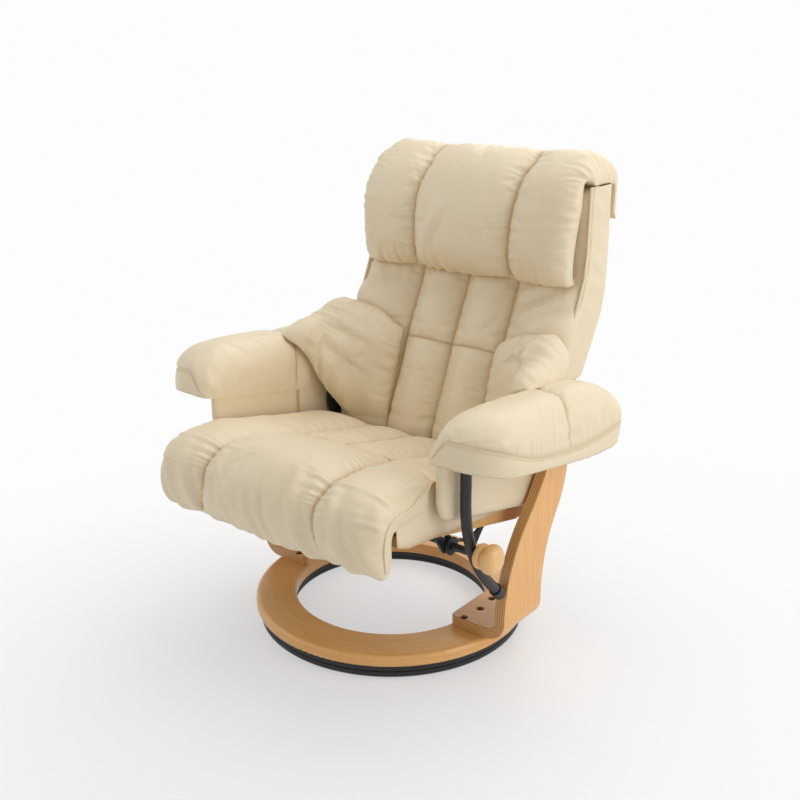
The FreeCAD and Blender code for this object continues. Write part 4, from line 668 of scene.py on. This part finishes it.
def make_arm(name, side):
    """Arm pad over its board. The top leather rises from the gathered seam to the crown, by the
    superellipses of the four edges' distances. Below the seam a band runs round the arm. On the
    inner side the seam drops to the lower edge, so the top leather goes all the way down."""
    length = stations([0, 285, ARM_LENGTH], 3.6, ARM_ROLL_FRONT, ARM_ROLL_REAR, 12)[:, None]
    width = ARM_OUT - ARM_IN
    share_x = stations([0, width], 4.6, 45, 62, 11)[None] / width
    rear = ARM_LENGTH - length
    x_in = ARM_IN + ARM_CORNER_IN * (2 - rim(length, ARM_CORNER_IN) - rim(rear, ARM_CORNER_IN))
    x_out = (ARM_OUT - ARM_CORNER_FRONT * (1 - rim(length, ARM_CORNER_FRONT))
             - ARM_CORNER_REAR * (1 - rim(rear, ARM_CORNER_REAR)))
    x = x_in + (x_out - x_in) * share_x
    along = length + 0 * x
    ends = rim(length, ARM_ROLL_FRONT, 2.1) * rim(rear, ARM_ROLL_REAR, 2.1)
    outer_share = rim(x_out - x, ARM_ROLL_OUT, 2.1)
    share = rim(x - x_in, ARM_ROLL_IN, 2.5) * outer_share * ends
    lower = table(ARM_LOWER, along)
    seam = lower + 1 + (table(ARM_SEAM, along) - lower - 1) * ease(x, 299, 352)
    crown = table(ARM_CROWN, along) - 7 * ease(300 - x, -60, 3)
    height = seam + (crown - seam) * share
    top = np.stack([x, along, height], -1)
    seed = 51 if side > 0 else 151
    around = x + along
    away = 85 * outer_share * ends + 0.35 * np.minimum(x_out - x, length)
    dense = (1 - 0.75 * ease(along, 330, 400)) * ease(x, 300, 330)
    folds = 6.0 * dense * gathers(around, away, 10.5, 26, seed)
    folds += 1.3 * gathers(around, 85 * share, 30, 60, seed + 3)
    cross_gap = np.abs(along - 291 + 20 * ease(x, 395, 450) + 6 * ease(-x, -330, -297))
    dip = valley(cross_gap, 5, 5, 5, 22) * ease(away, 0, 14) * (0.3 + 0.7 * ease(x, 300, 335))
    folds += 1.6 * gathers(x + height, cross_gap, 22, 26, seed + 5)
    top = top + facing(top) * ((folds - dip) * ease(share, 0.02, 0.3))[..., None]
    top = stuff(top, (share < 0.03) | (cross_gap < 1.8), pressure=3.5, spare=0.04, cap=6)
    # Painted shade along the gathered seam and the cross seam
    crease_shade = np.maximum(0.5 * np.exp(-away / 2.5) * ease(x, 300, 330), np.exp(-cross_gap / 2.5))
    edge = np.stack([x, along, seam, lower], -1)
    loop = np.concatenate([edge[0], edge[1:, -1], edge[-1, -2::-1], edge[-2::-1, 0]])
    ahead = np.gradient(loop[:, :2], axis=0)
    ahead[[0, -1]] = (loop[1, :2] - loop[-2, :2])[None]
    out = np.stack([ahead[:, 1], -ahead[:, 0]], -1)
    out /= np.linalg.norm(out, axis=1, keepdims=True)
    tall = loop[:, 2] - loop[:, 3]
    # Rows of the band: how far down they lie, how far they bulge, and those turned in below it
    drop = np.array([0, 0.04, 0.12, 0.3, 0.5, 0.7, 0.88, 0.96, 1.0])
    push = np.array([0, -0.6, 0.6, 2.0, 2.6, 2.0, 0.6, -0.8, -3.0])
    under = [(10, 1.5), (24, 2.5), (40, 2.5)]
    plump = ease(tall, 4, 30)
    wave = 0.5 * ripple(loop[:, 0] + loop[:, 1], 55, seed + 7) * plump
    band = [np.concatenate([loop[:, :2] + out * ((p * plump) + wave * math.sin(d * 3))[:, None],
                            (loop[:, 2] - tall * d)[:, None]], -1)
            for d, p in zip(drop, push)]
    for inset, rise in under:
        band.append(np.concatenate([loop[:, :2] - out * inset, (loop[:, 3] + rise)[:, None]], -1))
    spine = np.stack([
        np.full(len(loop), ARM_IN + width / 2), np.clip(loop[:, 1], 60, ARM_LENGTH - 60),
        table(ARM_LOWER, loop[:, 1]) + 2], -1)
    band = np.stack([*band, spine])
    # Painted shade on the band, darkest just under the seam
    shade = np.concatenate([0.5 * np.exp(-drop * 30), [0, 0, 0, 0]])[:, None] * plump
    made = cover("arm_pad_leather_" + name, [arm_place(top, side), arm_place(band, side)], "chair",
                 "leather", [crease_shade, shade])
    seen = (tall > 12) & (loop[:, 1] < ARM_LENGTH)
    proud = np.pad(out[seen] * 0.5, ((0, 0), (0, 1)))
    for row, label in ((2, "upper"), (7, "lower")):
        path = arm_place(band[row][seen] + proud, side)
        stitches("arm_stitches_%s_%s" % (label, name), path, "chair")
    return rounded(made)


def arm_place(grid, side):
    """From the arm's own frame, across, length and height, to the chair's: it leans back."""
    across, length, height = grid[..., 0], grid[..., 1], grid[..., 2]
    y = ARM_FRONT_Y + length * math.cos(ARM_TILT) + height * math.sin(ARM_TILT)
    z = ARM_FRONT_Z - length * math.sin(ARM_TILT) + height * math.cos(ARM_TILT)
    return np.stack([across * side, y, z], -1)


# Places in y, and the lower edge in y and z
PANEL_FRONT, PANEL_SEAM, PANEL_REAR = -240, 17, 152
PANEL_LOW = [(-240, 425), (-232, 402), (-214, 386), (-180, 376), (-60, 349), (152, 300)]


def make_panel(name, side):
    """Upholstered panel under the inner edge of the arm. Its outline lies between an upper and a
    lower line, and both faces swell a little between the edges."""
    y = stations([PANEL_FRONT, PANEL_SEAM, PANEL_REAR], 8, 20, 12)
    v = stations([0, 1], 0.06, 0.14, 0.1)
    top = 517.4 - (y - PANEL_FRONT) * math.tan(ARM_TILT)
    low = table(PANEL_LOW, y)
    z = low + (top - low) * v[:, None]
    swell = rim(np.minimum(y - PANEL_FRONT, PANEL_REAR - y), 14)[None] * rim(v, 0.13)[:, None]
    swell = swell * rim(1 - v, 0.04)[:, None]
    groove = 1.6 * np.exp(-np.abs(y - PANEL_SEAM) / 4)[None] * swell
    wave = 0.7 * ripple(y[None] + 0.5 * z, 80, 61) * swell
    faces = [np.stack([side * x, y + 0 * x, z], -1)
             for x in (308 - 9.8 * swell + groove + wave, 308 + 12 * swell)]
    # Painted shade along the seam and the lower edge
    crease_shade = np.maximum(np.exp(-np.abs(y - PANEL_SEAM) / 3)[None], np.exp(-v * 16)[:, None])
    return cushion("arm_panel_leather_" + name, *faces, "chair", crease_shade)


# Webbing and felt

STRAP_WIDTH = 50


def make_straps(name, half, middles, normal, thick, sag, body):
    """Woven elastic straps. Across its width each is a row of ribs between two selvedges, and
    along its length it sags as a parabola between its ends, which stay on the frame."""
    normal = np.asarray(normal, float)
    across = np.cross([1.0, 0, 0], normal)
    x = np.linspace(-half, half, 49)
    w = np.linspace(-1, 1, 61)[:, None]
    ribs = 0.62 + 0.16 * np.cos(w * 13 * math.pi) + 0.22 * (np.abs(w) > 0.93)
    ribs = ribs * rim(1 - np.abs(w), 0.03)
    down = sag * (1 - (x / half) ** 2)
    aside = across * (w * STRAP_WIDTH / 2)[..., None]
    grids = []
    for middle in middles:
        faces = []
        for face in (1, -1):
            lift = (face * thick / 2 * ribs - down)[..., None]
            flat = np.array([0, *middle]) + aside + normal * lift
            flat[..., 0] += x
            faces.append(flat)
        grids += [*faces, *(np.stack([faces[0][:, i], faces[1][:, i]], 1) for i in (0, -1))]
    return cover(name, grids, body, "webbing")


def make_felt(name, ring, count, radius, height):
    """Felt discs under the floor ring: each is turned from a profile with a soft edge, and its
    rim wavers by a few tenths of a millimetre, as cut felt does."""
    profile = np.array([(0, 0.0), (0.9, 0.0), (1.0, 0.2), (1.0, 0.85), (0.94, 1.0), (0, 1.0)])
    turn = np.linspace(0, 2 * math.pi, 33)
    waver = 1 + 0.012 * np.sin(5 * turn) - 0.012 * np.abs(np.cos(7 * turn))
    grids = []
    for i in range(count):
        angle = 2 * math.pi * i / count
        reach = radius * profile[:, :1] * waver
        grids.append(np.stack([ring * math.cos(angle) + reach * np.cos(turn),
                               ring * math.sin(angle) + reach * np.sin(turn),
                               height * profile[:, 1:] + 0 * reach], -1))
    return cover(name, grids, "floor_turntable", "felt")


# Materials

def linear(text):
    """sRGB hex value as linear red, green, blue and alpha."""
    parts = np.array([int(text[i:i + 2], 16) for i in (0, 2, 4)]) / 255
    value = np.where(parts <= 0.04045, parts / 12.92, ((parts + 0.055) / 1.055) ** 2.4)
    return (*value.tolist(), 1.0)


def node(tree, kind, settings, out=0):
    """Adds one node and gives back one of its outputs, or the node where out is None. A setting
    is a property, an input's value or hex colour, or an output that is linked to it."""
    made = tree.nodes.new("ShaderNode" + kind)
    for name, value in settings.items():
        if isinstance(value, bpy.types.NodeSocket):
            tree.links.new(made.inputs[name], value)
        elif isinstance(name, str) and name in made.bl_rna.properties:
            setattr(made, name, value)
        else:
            made.inputs[name].default_value = linear(value) if isinstance(value, str) else value
    return made if out is None else made.outputs[out]


def material(name, even):
    """Material, its tree, its shader with the values that are even all over it, and the object
    coordinates in metres."""
    made = bpy.data.materials.new(name)
    made.use_nodes = True
    tree = made.node_tree
    tree.nodes.clear()
    shader = node(tree, "BsdfPrincipled", even, None)
    node(tree, "OutputMaterial", {"Surface": shader.outputs["BSDF"]}, None)
    return made, tree, shader, node(tree, "TexCoord", {}, "Object")


def dress(tree, shader, colour, rough=None, relief=None):
    """Links what varies over a shader. Colour and roughness are each a factor and the two
    colours or values that it blends. Relief is a height, its strength and its depth in metres."""
    tree.links.new(shader.inputs["Base Color"], node(tree, "Mix", {
        "data_type": "RGBA", 0: colour[0], 6: colour[1], 7: colour[2]}, 2))
    if rough:
        tree.links.new(shader.inputs["Roughness"], node(tree, "MapRange", {
            "Value": rough[0], 3: rough[1], 4: rough[2]}))
    if relief:
        tree.links.new(shader.inputs["Normal"], node(tree, "Bump", {
            "Height": relief[0], "Strength": relief[1], "Distance": relief[2]}))


def cream_leather():
    """Cream upholstery leather, corrected and coated: a soft satin sheen, pebbled grain, faint
    clouds of tone, and warm brown painted shade along the creases where it is sewn in. The pebbles
    of 0.8 mm are drawn at 2 mm, because finer ones vanish at this distance."""
    made, tree, shader, place = material("cream_leather", {
        "Sheen Weight": 0.06, "Coat Weight": 0.08, "Coat Roughness": 0.4})
    cloud = node(tree, "TexNoise", {"Vector": place, "Scale": 7.0, "Detail": 4.0})
    blotch = node(tree, "TexNoise", {"Vector": place, "Scale": 60.0, "Detail": 3.0})
    pore = node(tree, "TexNoise", {"Vector": place, "Scale": 160.0, "Detail": 6.0})
    wrinkle = node(tree, "TexNoise", {
        "Vector": place, "Scale": 34.0, "Detail": 5.0, "Distortion": 1.6})
    pebble = node(tree, "TexVoronoi", {"Vector": place, "Scale": 480.0})
    crease_shade = node(tree, "Attribute", {"attribute_name": "crease_shade"}, "Fac")
    tone = node(tree, "Mix", {"data_type": "RGBA", 0: cloud, 6: "EEE0C5", 7: "E5D3B0"}, 2)
    blotch = node(tree, "MapRange", {"Value": blotch, 3: 0.0, 4: 0.35})
    tone = node(tree, "Mix", {"data_type": "RGBA", 0: blotch, 6: tone, 7: "DFCAA1"}, 2)
    # Painted shade: the leather darkens to warm brown where the crease attribute is high, along the
    # seams
    painted_crease_shade = node(tree, "Math", {"operation": "MULTIPLY", 0: crease_shade, 1: 0.75})
    height = node(tree, "Math", {"operation": "MULTIPLY_ADD", 0: pore, 1: 0.8, 2: pebble})
    height = node(tree, "Math", {"operation": "MULTIPLY_ADD", 0: wrinkle, 1: 1.8, 2: height})
    dress(tree, shader, (painted_crease_shade, tone, "AE864A"), (pore, 0.36, 0.56), (height, 0.22, 0.0008))
    return made


def waxed_thread():
    """Bonded polyester thread: twisted plies across each stitch, a little darker than the hide."""
    made, tree, shader, place = material("waxed_thread", {"Roughness": 0.55})
    ply = node(tree, "TexWave", {
        "Vector": place, "Scale": 320.0, "bands_direction": "DIAGONAL"}, "Fac")
    dress(tree, shader, (ply, "D2BC8C", "E6D6B0"), None, (ply, 0.4, 0.0003))
    return made


# Satin lacquer over the wood
LACQUER = {"Coat Weight": 0.25, "Coat Roughness": 0.18}


def beech_grain(tree, grain):
    """Beech, on a vector of places along the grain, across it and through its layers: pale
    streaks with the grain, short dark flecks of its rays, and a slow change of tone. The streaks
    are 3 mm wide, the flecks 1 by 6 mm, drawn half as large again."""
    streak, fleck, slow = [
        node(tree, "TexNoise", {
            "Vector": node(tree, "VectorMath", {"operation": "MULTIPLY", 0: grain, 1: per_metre}),
            "Scale": 1.0, "Detail": detail, "Roughness": rough})
        for per_metre, detail, rough in (
            ((9, 260, 260), 4, 0.6), ((110, 640, 640), 1, 0.5), ((3, 22, 22), 2, 0.5))]
    pale = node(tree, "MapRange", {"Value": streak, 3: -0.5, 4: 1.5})
    colour = node(tree, "Mix", {"data_type": "RGBA", 0: pale, 6: "F2BF7C", 7: "DF9F52"}, 2)
    slow = node(tree, "MapRange", {"Value": slow, 3: -0.3, 4: 0.8})
    colour = node(tree, "Mix", {"data_type": "RGBA", 0: slow, 6: colour, 7: "E9AC60"}, 2)
    ray = node(tree, "MapRange", {"Value": fleck, 1: 0.62, 2: 0.74, 3: 0.0, 4: 0.5})
    colour = node(tree, "Mix", {"data_type": "RGBA", 0: ray, 6: colour, 7: "B57F45"}, 2)
    return colour, streak


def ring_beech():
    """Lacquered beech ring, glued up from staves: the grain follows the ring, and each glue line
    shows as a fine darker joint every 30 degrees."""
    made, tree, shader, place = material("lacquered_ring_beech", LACQUER)
    x, y, z = node(tree, "SeparateXYZ", {"Vector": place}, None).outputs
    flat = node(tree, "VectorMath", {"operation": "MULTIPLY", 0: place, 1: (1, 1, 0)})
    radius = node(tree, "VectorMath", {"operation": "LENGTH", 0: flat}, "Value")
    angle = node(tree, "Math", {"operation": "ARCTAN2", 0: y, 1: x})
    staves = node(tree, "Math", {"operation": "MULTIPLY", 0: angle, 1: 12 / (2 * math.pi)})
    stave = node(tree, "Math", {"operation": "FLOOR", 0: staves})
    along = node(tree, "Math", {"operation": "MULTIPLY", 0: angle, 1: 0.26})
    along = node(tree, "Math", {"operation": "MULTIPLY_ADD", 0: stave, 1: 3.7, 2: along})
    colour, streak = beech_grain(tree, node(
        tree, "CombineXYZ", {"X": along, "Y": radius, "Z": z}))
    within = node(tree, "Math", {"operation": "PINGPONG", 0: staves, 1: 0.5})
    joint = node(tree, "MapRange", {"Value": within, 1: 0.0, 2: 0.004, 3: 0.35, 4: 0.0})
    dress(tree, shader, (joint, colour, "9A6A36"), (streak, 0.3, 0.44), (streak, 0.06, 0.0004))
    return made


def bent_beech():
    """Bent and lacquered beech plywood: face veneer whose grain runs along the bend, and on the
    cut edges its 1.5 mm plies, drawn 5.5 mm a pair so that they show. A place's layer is how far
    it lies from the axis of the bend, or from the blade or foot beyond it."""
    made, tree, shader, place = material("bent_beech_plywood", LACQUER)
    across = node(tree, "SeparateXYZ", {"Vector": place}, "Y")
    beside = node(tree, "VectorMath", {"operation": "ABSOLUTE", 0: place})
    depth = node(tree, "VectorMath", {
        "operation": "MULTIPLY_ADD", 0: beside, 1: (1, 0, -1), 2: (-0.304, 0, 0.104)})
    depth = node(tree, "VectorMath", {"operation": "MAXIMUM", 0: depth, 1: (0, 0, 0)})
    layer = node(tree, "VectorMath", {"operation": "LENGTH", 0: depth}, "Value")
    along = node(tree, "VectorMath", {
        "operation": "DOT_PRODUCT", 0: beside, 1: (1, 0, 1)}, "Value")
    thin = node(tree, "Math", {"operation": "MULTIPLY", 0: layer, 1: 0.2})
    colour, streak = beech_grain(tree, node(
        tree, "CombineXYZ", {"X": along, "Y": across, "Z": thin}))
    face = node(tree, "VectorMath", {
        "operation": "ABSOLUTE", 0: node(tree, "TexCoord", {}, "Normal")})
    cut = node(tree, "MapRange", {
        "Value": node(tree, "SeparateXYZ", {"Vector": face}, "Y"), 1: 0.45, 2: 0.6})
    ply = node(tree, "Math", {"operation": "MULTIPLY", 0: layer, 1: 2 * math.pi / 0.0055})
    ply = node(tree, "Math", {"operation": "SINE", 0: ply})
    ply = node(tree, "MapRange", {"Value": ply, 3: 0.1, 4: 0.8})
    edge = node(tree, "Mix", {"data_type": "RGBA", 0: ply, 6: "D9A567", 7: "94642F"}, 2)
    dress(tree, shader, (cut, colour, edge), (streak, 0.3, 0.44), (streak, 0.06, 0.0004))
    return made


def knob_beech():
    """Turned and lacquered beech knob: long streaks across the chair, along its own axis."""
    made, tree, shader, place = material("turned_beech", LACQUER)
    colour, streak = beech_grain(tree, place)
    dress(tree, shader, (0.45, colour, "F0C98E"), (streak, 0.26, 0.4), (streak, 0.06, 0.0004))
    return made


def raw_plywood():
    """Raw birch plywood of the hidden rails and boards: dull, with grain along the chair and
    plies of 1.5 mm, 3 mm a pair, in its thickness."""
    made, tree, shader, place = material("raw_plywood", {})
    x, y, z = node(tree, "SeparateXYZ", {"Vector": place}, None).outputs
    colour, streak = beech_grain(tree, node(tree, "CombineXYZ", {"X": y, "Y": z, "Z": x}))
    colour = node(tree, "Mix", {"data_type": "RGBA", 0: 0.55, 6: colour, 7: "C29C66"}, 2)
    face = node(tree, "VectorMath", {
        "operation": "ABSOLUTE", 0: node(tree, "TexCoord", {}, "Normal")})
    cut = node(tree, "MapRange", {
        "Value": node(tree, "SeparateXYZ", {"Vector": face}, "X"), 1: 0.6, 2: 0.4})
    ply = node(tree, "Math", {"operation": "MULTIPLY", 0: x, 1: 2 * math.pi / 0.003})
    ply = node(tree, "Math", {"operation": "SINE", 0: ply})
    ply = node(tree, "MapRange", {"Value": ply, 3: 0.3, 4: 0.6})
    edge = node(tree, "Mix", {"data_type": "RGBA", 0: ply, 6: "C8A26C", 7: "8A653A"}, 2)
    dress(tree, shader, (cut, colour, edge), (streak, 0.55, 0.75), (streak, 0.15, 0.0004))
    return made


def powder_coat():
    """Black powder coat, sprayed and baked: satin, with the fine orange peel that it cures to,
    of about 1 mm, and grey dust in the light."""
    made, tree, shader, place = material("black_powder_coat", {})
    peel = node(tree, "TexNoise", {"Vector": place, "Scale": 900.0, "Detail": 2.0})
    dust = node(tree, "TexNoise", {"Vector": place, "Scale": 40.0, "Detail": 4.0})
    dress(tree, shader, (dust, "161518", "222125"), (dust, 0.3, 0.46), (peel, 0.25, 0.0003))
    return made


def zinc_steel():
    """Zinc-plated steel: bright grey, drawn lengthways, with cloudier and clearer places."""
    made, tree, shader, place = material("zinc_plated_steel", {"Metallic": 1.0})
    cloud = node(tree, "TexNoise", {"Vector": place, "Scale": 90.0, "Detail": 4.0})
    line = node(tree, "TexWave", {
        "Vector": place, "Scale": 260.0, "Distortion": 3.0, "bands_direction": "Z"}, "Fac")
    dress(tree, shader, (cloud, "B4B7BC", "D0D0CE"), (cloud, 0.24, 0.42), (line, 0.1, 0.0002))
    return made


def moulded_plastic(name, dark, light, rough):
    """Injection-moulded plastic, ABS or nylon: even colour, spark-eroded texture of about 1 mm."""
    made, tree, shader, place = material(name, {})
    grit = node(tree, "TexVoronoi", {"Vector": place, "Scale": 950.0})
    slow = node(tree, "TexNoise", {"Vector": place, "Scale": 20.0, "Detail": 2.0})
    dress(tree, shader, (slow, dark, light), (grit, rough, rough + 0.12), (grit, 0.2, 0.0003))
    return made


def webbing():
    """Woven rubber webbing: black warp with grey picks each 2.5 mm across it, quite matt."""
    made, tree, shader, place = material("woven_webbing", {})
    pick = node(tree, "TexWave", {
        "Vector": place, "Scale": 125.0, "bands_direction": "X", "Distortion": 0.4}, "Fac")
    fuzz = node(tree, "TexNoise", {"Vector": place, "Scale": 700.0, "Detail": 3.0})
    height = node(tree, "Math", {"operation": "MULTIPLY_ADD", 0: fuzz, 1: 0.4, 2: pick})
    dress(tree, shader, (pick, "1B1B1E", "3A3A3F"), (fuzz, 0.8, 1.0), (height, 0.6, 0.0005))
    return made


def felt():
    """Pressed grey wool felt: no gloss, with a fuzz of fibres about 1 mm apart."""
    made, tree, shader, place = material("wool_felt", {"Sheen Weight": 0.4})
    fibre = node(tree, "TexNoise", {
        "Vector": place, "Scale": 800.0, "Detail": 5.0, "Distortion": 2.0})
    dress(tree, shader, (fibre, "26262A", "4E4E52"), (fibre, 0.9, 1.0), (fibre, 0.8, 0.0006))
    return made


FINISHES = {
    "leather": cream_leather(),
    "thread": waxed_thread(),
    "beech": bent_beech(),
    "knob_beech": knob_beech(),
    "seat_plywood": raw_plywood(),
    "black_steel": powder_coat(),
    "bright_steel": zinc_steel(),
    "black_plastic": moulded_plastic("black_abs", "151517", "1F1F22", 0.46),
    "cage_plastic": moulded_plastic("natural_nylon", "CBC9C0", "DAD9D2", 0.4),
    "webbing": webbing(),
    "felt": felt(),
    "ring_beech": ring_beech(),
}


# Pieces

soft = [(make_seat(), ["seat_cushion"], 0.8), (make_back(), ["back_cushion"], 0.75),
        (make_head(), ["head_pillow"], 0.8)]
for name, side in SIDES:
    soft.append((make_wing(name, side), ["wing_" + name], 0.65))
    soft.append((make_arm(name, side), ["arm_pad_" + name], 0.8))
    soft.append((make_panel(name, side), ["arm_panel_" + name], 0.9))
    soft.append((bpy.data.objects["seat_facing_" + name], [], 0.9))
for piece, nodes, fill in soft:
    if nodes:
        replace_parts(piece, *nodes)
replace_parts(make_shell(), "back_panel")

# Middles of the straps in y and z, and what is square to their frame
low_straps = np.linspace([201.95, 400.4], [311.8, 595.4], 4)
high_straps = [(373.75, 800), (373.75, 880)]
deck_straps = np.linspace([-274.9, 379.25], [75.1, 346.15], 6)
LEAN, DECK = (0, -0.8713, 0.4908), (0, 0.0942, 0.9956)
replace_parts(make_straps("back_webbing_low", 277, low_straps, LEAN, 1.5, 3, "back"), "back_straps")
make_straps("back_webbing_high", 277, high_straps, (0, -1, 0), 1.5, 2, "back")
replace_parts(make_straps("seat_webbing", 285, deck_straps, DECK, 2, 0, "seat"), "seat_straps")
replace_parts(make_felt("felt_discs", 262, 8, 12, 3), "floor_pads")

for piece in list(bpy.data.objects):
    if "rides" in piece:
        piece.data.materials.append(FINISHES[piece["slot"]])
        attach(piece, piece["rides"])

slot_of = {part["node"]: part["material_slot"] for part in frame["record"]["subparts"]}
for name, part in frame["nodes"].items():
    part.data.materials.clear()
    part.data.materials.append(FINISHES["ring_beech" if name == "base_ring" else slot_of[name]])


# Camera, floor and light

CAMERA_TURN, CAMERA_RISE = math.radians(38.785), math.radians(18.281)
# Metres, and the focal length in widths of the picture
CAMERA_DISTANCE, CAMERA_FOCUS = 2.3312, 1056.165 / 800
LOOK_AT = np.array([0, 0.0324, 0.498])

toward = np.array([math.sin(CAMERA_TURN) * math.cos(CAMERA_RISE),
                   -math.cos(CAMERA_TURN) * math.cos(CAMERA_RISE), math.sin(CAMERA_RISE)])
lens = bpy.data.cameras.new("camera")
lens.sensor_width = 36
lens.lens = CAMERA_FOCUS * lens.sensor_width
camera = bpy.data.objects.new("camera", lens)
camera.location = LOOK_AT + toward * CAMERA_DISTANCE
camera.rotation_euler = (math.pi / 2 - CAMERA_RISE, 0, CAMERA_TURN)
bpy.context.scene.collection.objects.link(camera)
bpy.context.scene.camera = camera


# The floor's own shade shows round a place by the chair's left front, where its shadow falls:
# its centre, how far from it the glow begins to rise and is full, in metres, and the glow there
SHADE_CENTRE, SHADE_NEAR, SHADE_FAR, SHADE_GLOW = (0.55, -0.4), 0.5, 1.9, 0.45


def studio_floor():
    """Large pale paper floor just under the felt pads. Away from the shade it glows as the white
    world does, for the camera and for reflections, so that no horizon shows."""
    size = 30000
    corners = np.array([[[-size, -size, -0.5], [size, -size, -0.5]],
                        [[-size, size, -0.5], [size, size, -0.5]]], float)
    made = cover("floor", [corners], "", "", closed=False)
    del made["rides"]
    paper, tree, shader, place = material("studio_paper", {"Roughness": 0.7})
    tooth = node(tree, "TexNoise", {"Vector": place, "Scale": 90.0})
    dress(tree, shader, (tooth, "F1F1F1", "F5F5F5"))
    from_centre = node(tree, "VectorMath", {
        "operation": "MULTIPLY_ADD", 0: place, 1: (1, 1, 0),
        2: (-SHADE_CENTRE[0], -SHADE_CENTRE[1], 0)})
    fade = node(tree, "MapRange", {
        "interpolation_type": "SMOOTHSTEP", 1: SHADE_NEAR, 2: SHADE_FAR, 3: SHADE_GLOW, 4: 1.0,
        "Value": node(tree, "VectorMath", {"operation": "LENGTH", 0: from_centre}, "Value")})
    share = node(tree, "Math", {"operation": "MULTIPLY", 0: fade, 1: seen_ray(tree)})
    glow = node(tree, "Emission", {"Color": (1, 1, 1, 1), "Strength": WHITE})
    both = node(tree, "MixShader", {0: share, 1: shader.outputs["BSDF"], 2: glow})
    output = next(n for n in tree.nodes if n.type == "OUTPUT_MATERIAL")
    tree.links.new(output.inputs["Surface"], both)
    made.data.materials.append(paper)


def seen_ray(tree):
    """1 for rays from the camera, in a reflection or through glass, and 0 for other light."""
    ray = node(tree, "LightPath", {}, None).outputs
    first = node(tree, "Math", {
        "operation": "MAXIMUM", 0: ray["Is Camera Ray"], 1: ray["Is Glossy Ray"]})
    return node(tree, "Math", {
        "operation": "MAXIMUM", 0: first, 1: ray["Is Transmission Ray"]})


def lamp(name, place, size, power, target=(0, 0, 0.5)):
    """Square soft box that faces a point."""
    light = bpy.data.lights.new(name, "AREA")
    light.size = size
    light.energy = power
    made = bpy.data.objects.new(name, light)
    made.location = place
    way = np.array(place) - np.array(target)
    turn = math.atan2(way[0], -way[1])
    made.rotation_euler = (math.acos(way[2] / np.linalg.norm(way)), 0, turn)
    bpy.context.scene.collection.objects.link(made)


WORLD_LIGHT, WHITE = 0.5, 0.98
studio_floor()
lamp("top", (0.2, 0.9, 3.3), 3.0, 36)
lamp("side", (3.2, 0.9, 2.0), 2.4, 44)
lamp("front", (-2.6, -2.2, 1.8), 2.4, 14)
lamp("rear", (-0.6, 3.0, 2.6), 2.0, 14)
world = bpy.data.worlds.new("studio")
world.use_nodes = True
sky = world.node_tree.nodes["Background"]
sky.inputs["Color"].default_value = (1, 1, 1, 1)
world.node_tree.links.new(sky.inputs["Strength"], node(world.node_tree, "MapRange", {
    "Value": seen_ray(world.node_tree), 3: WORLD_LIGHT, 4: WHITE}))
bpy.context.scene.world = world
bpy.context.scene.view_settings.view_transform = "Standard"
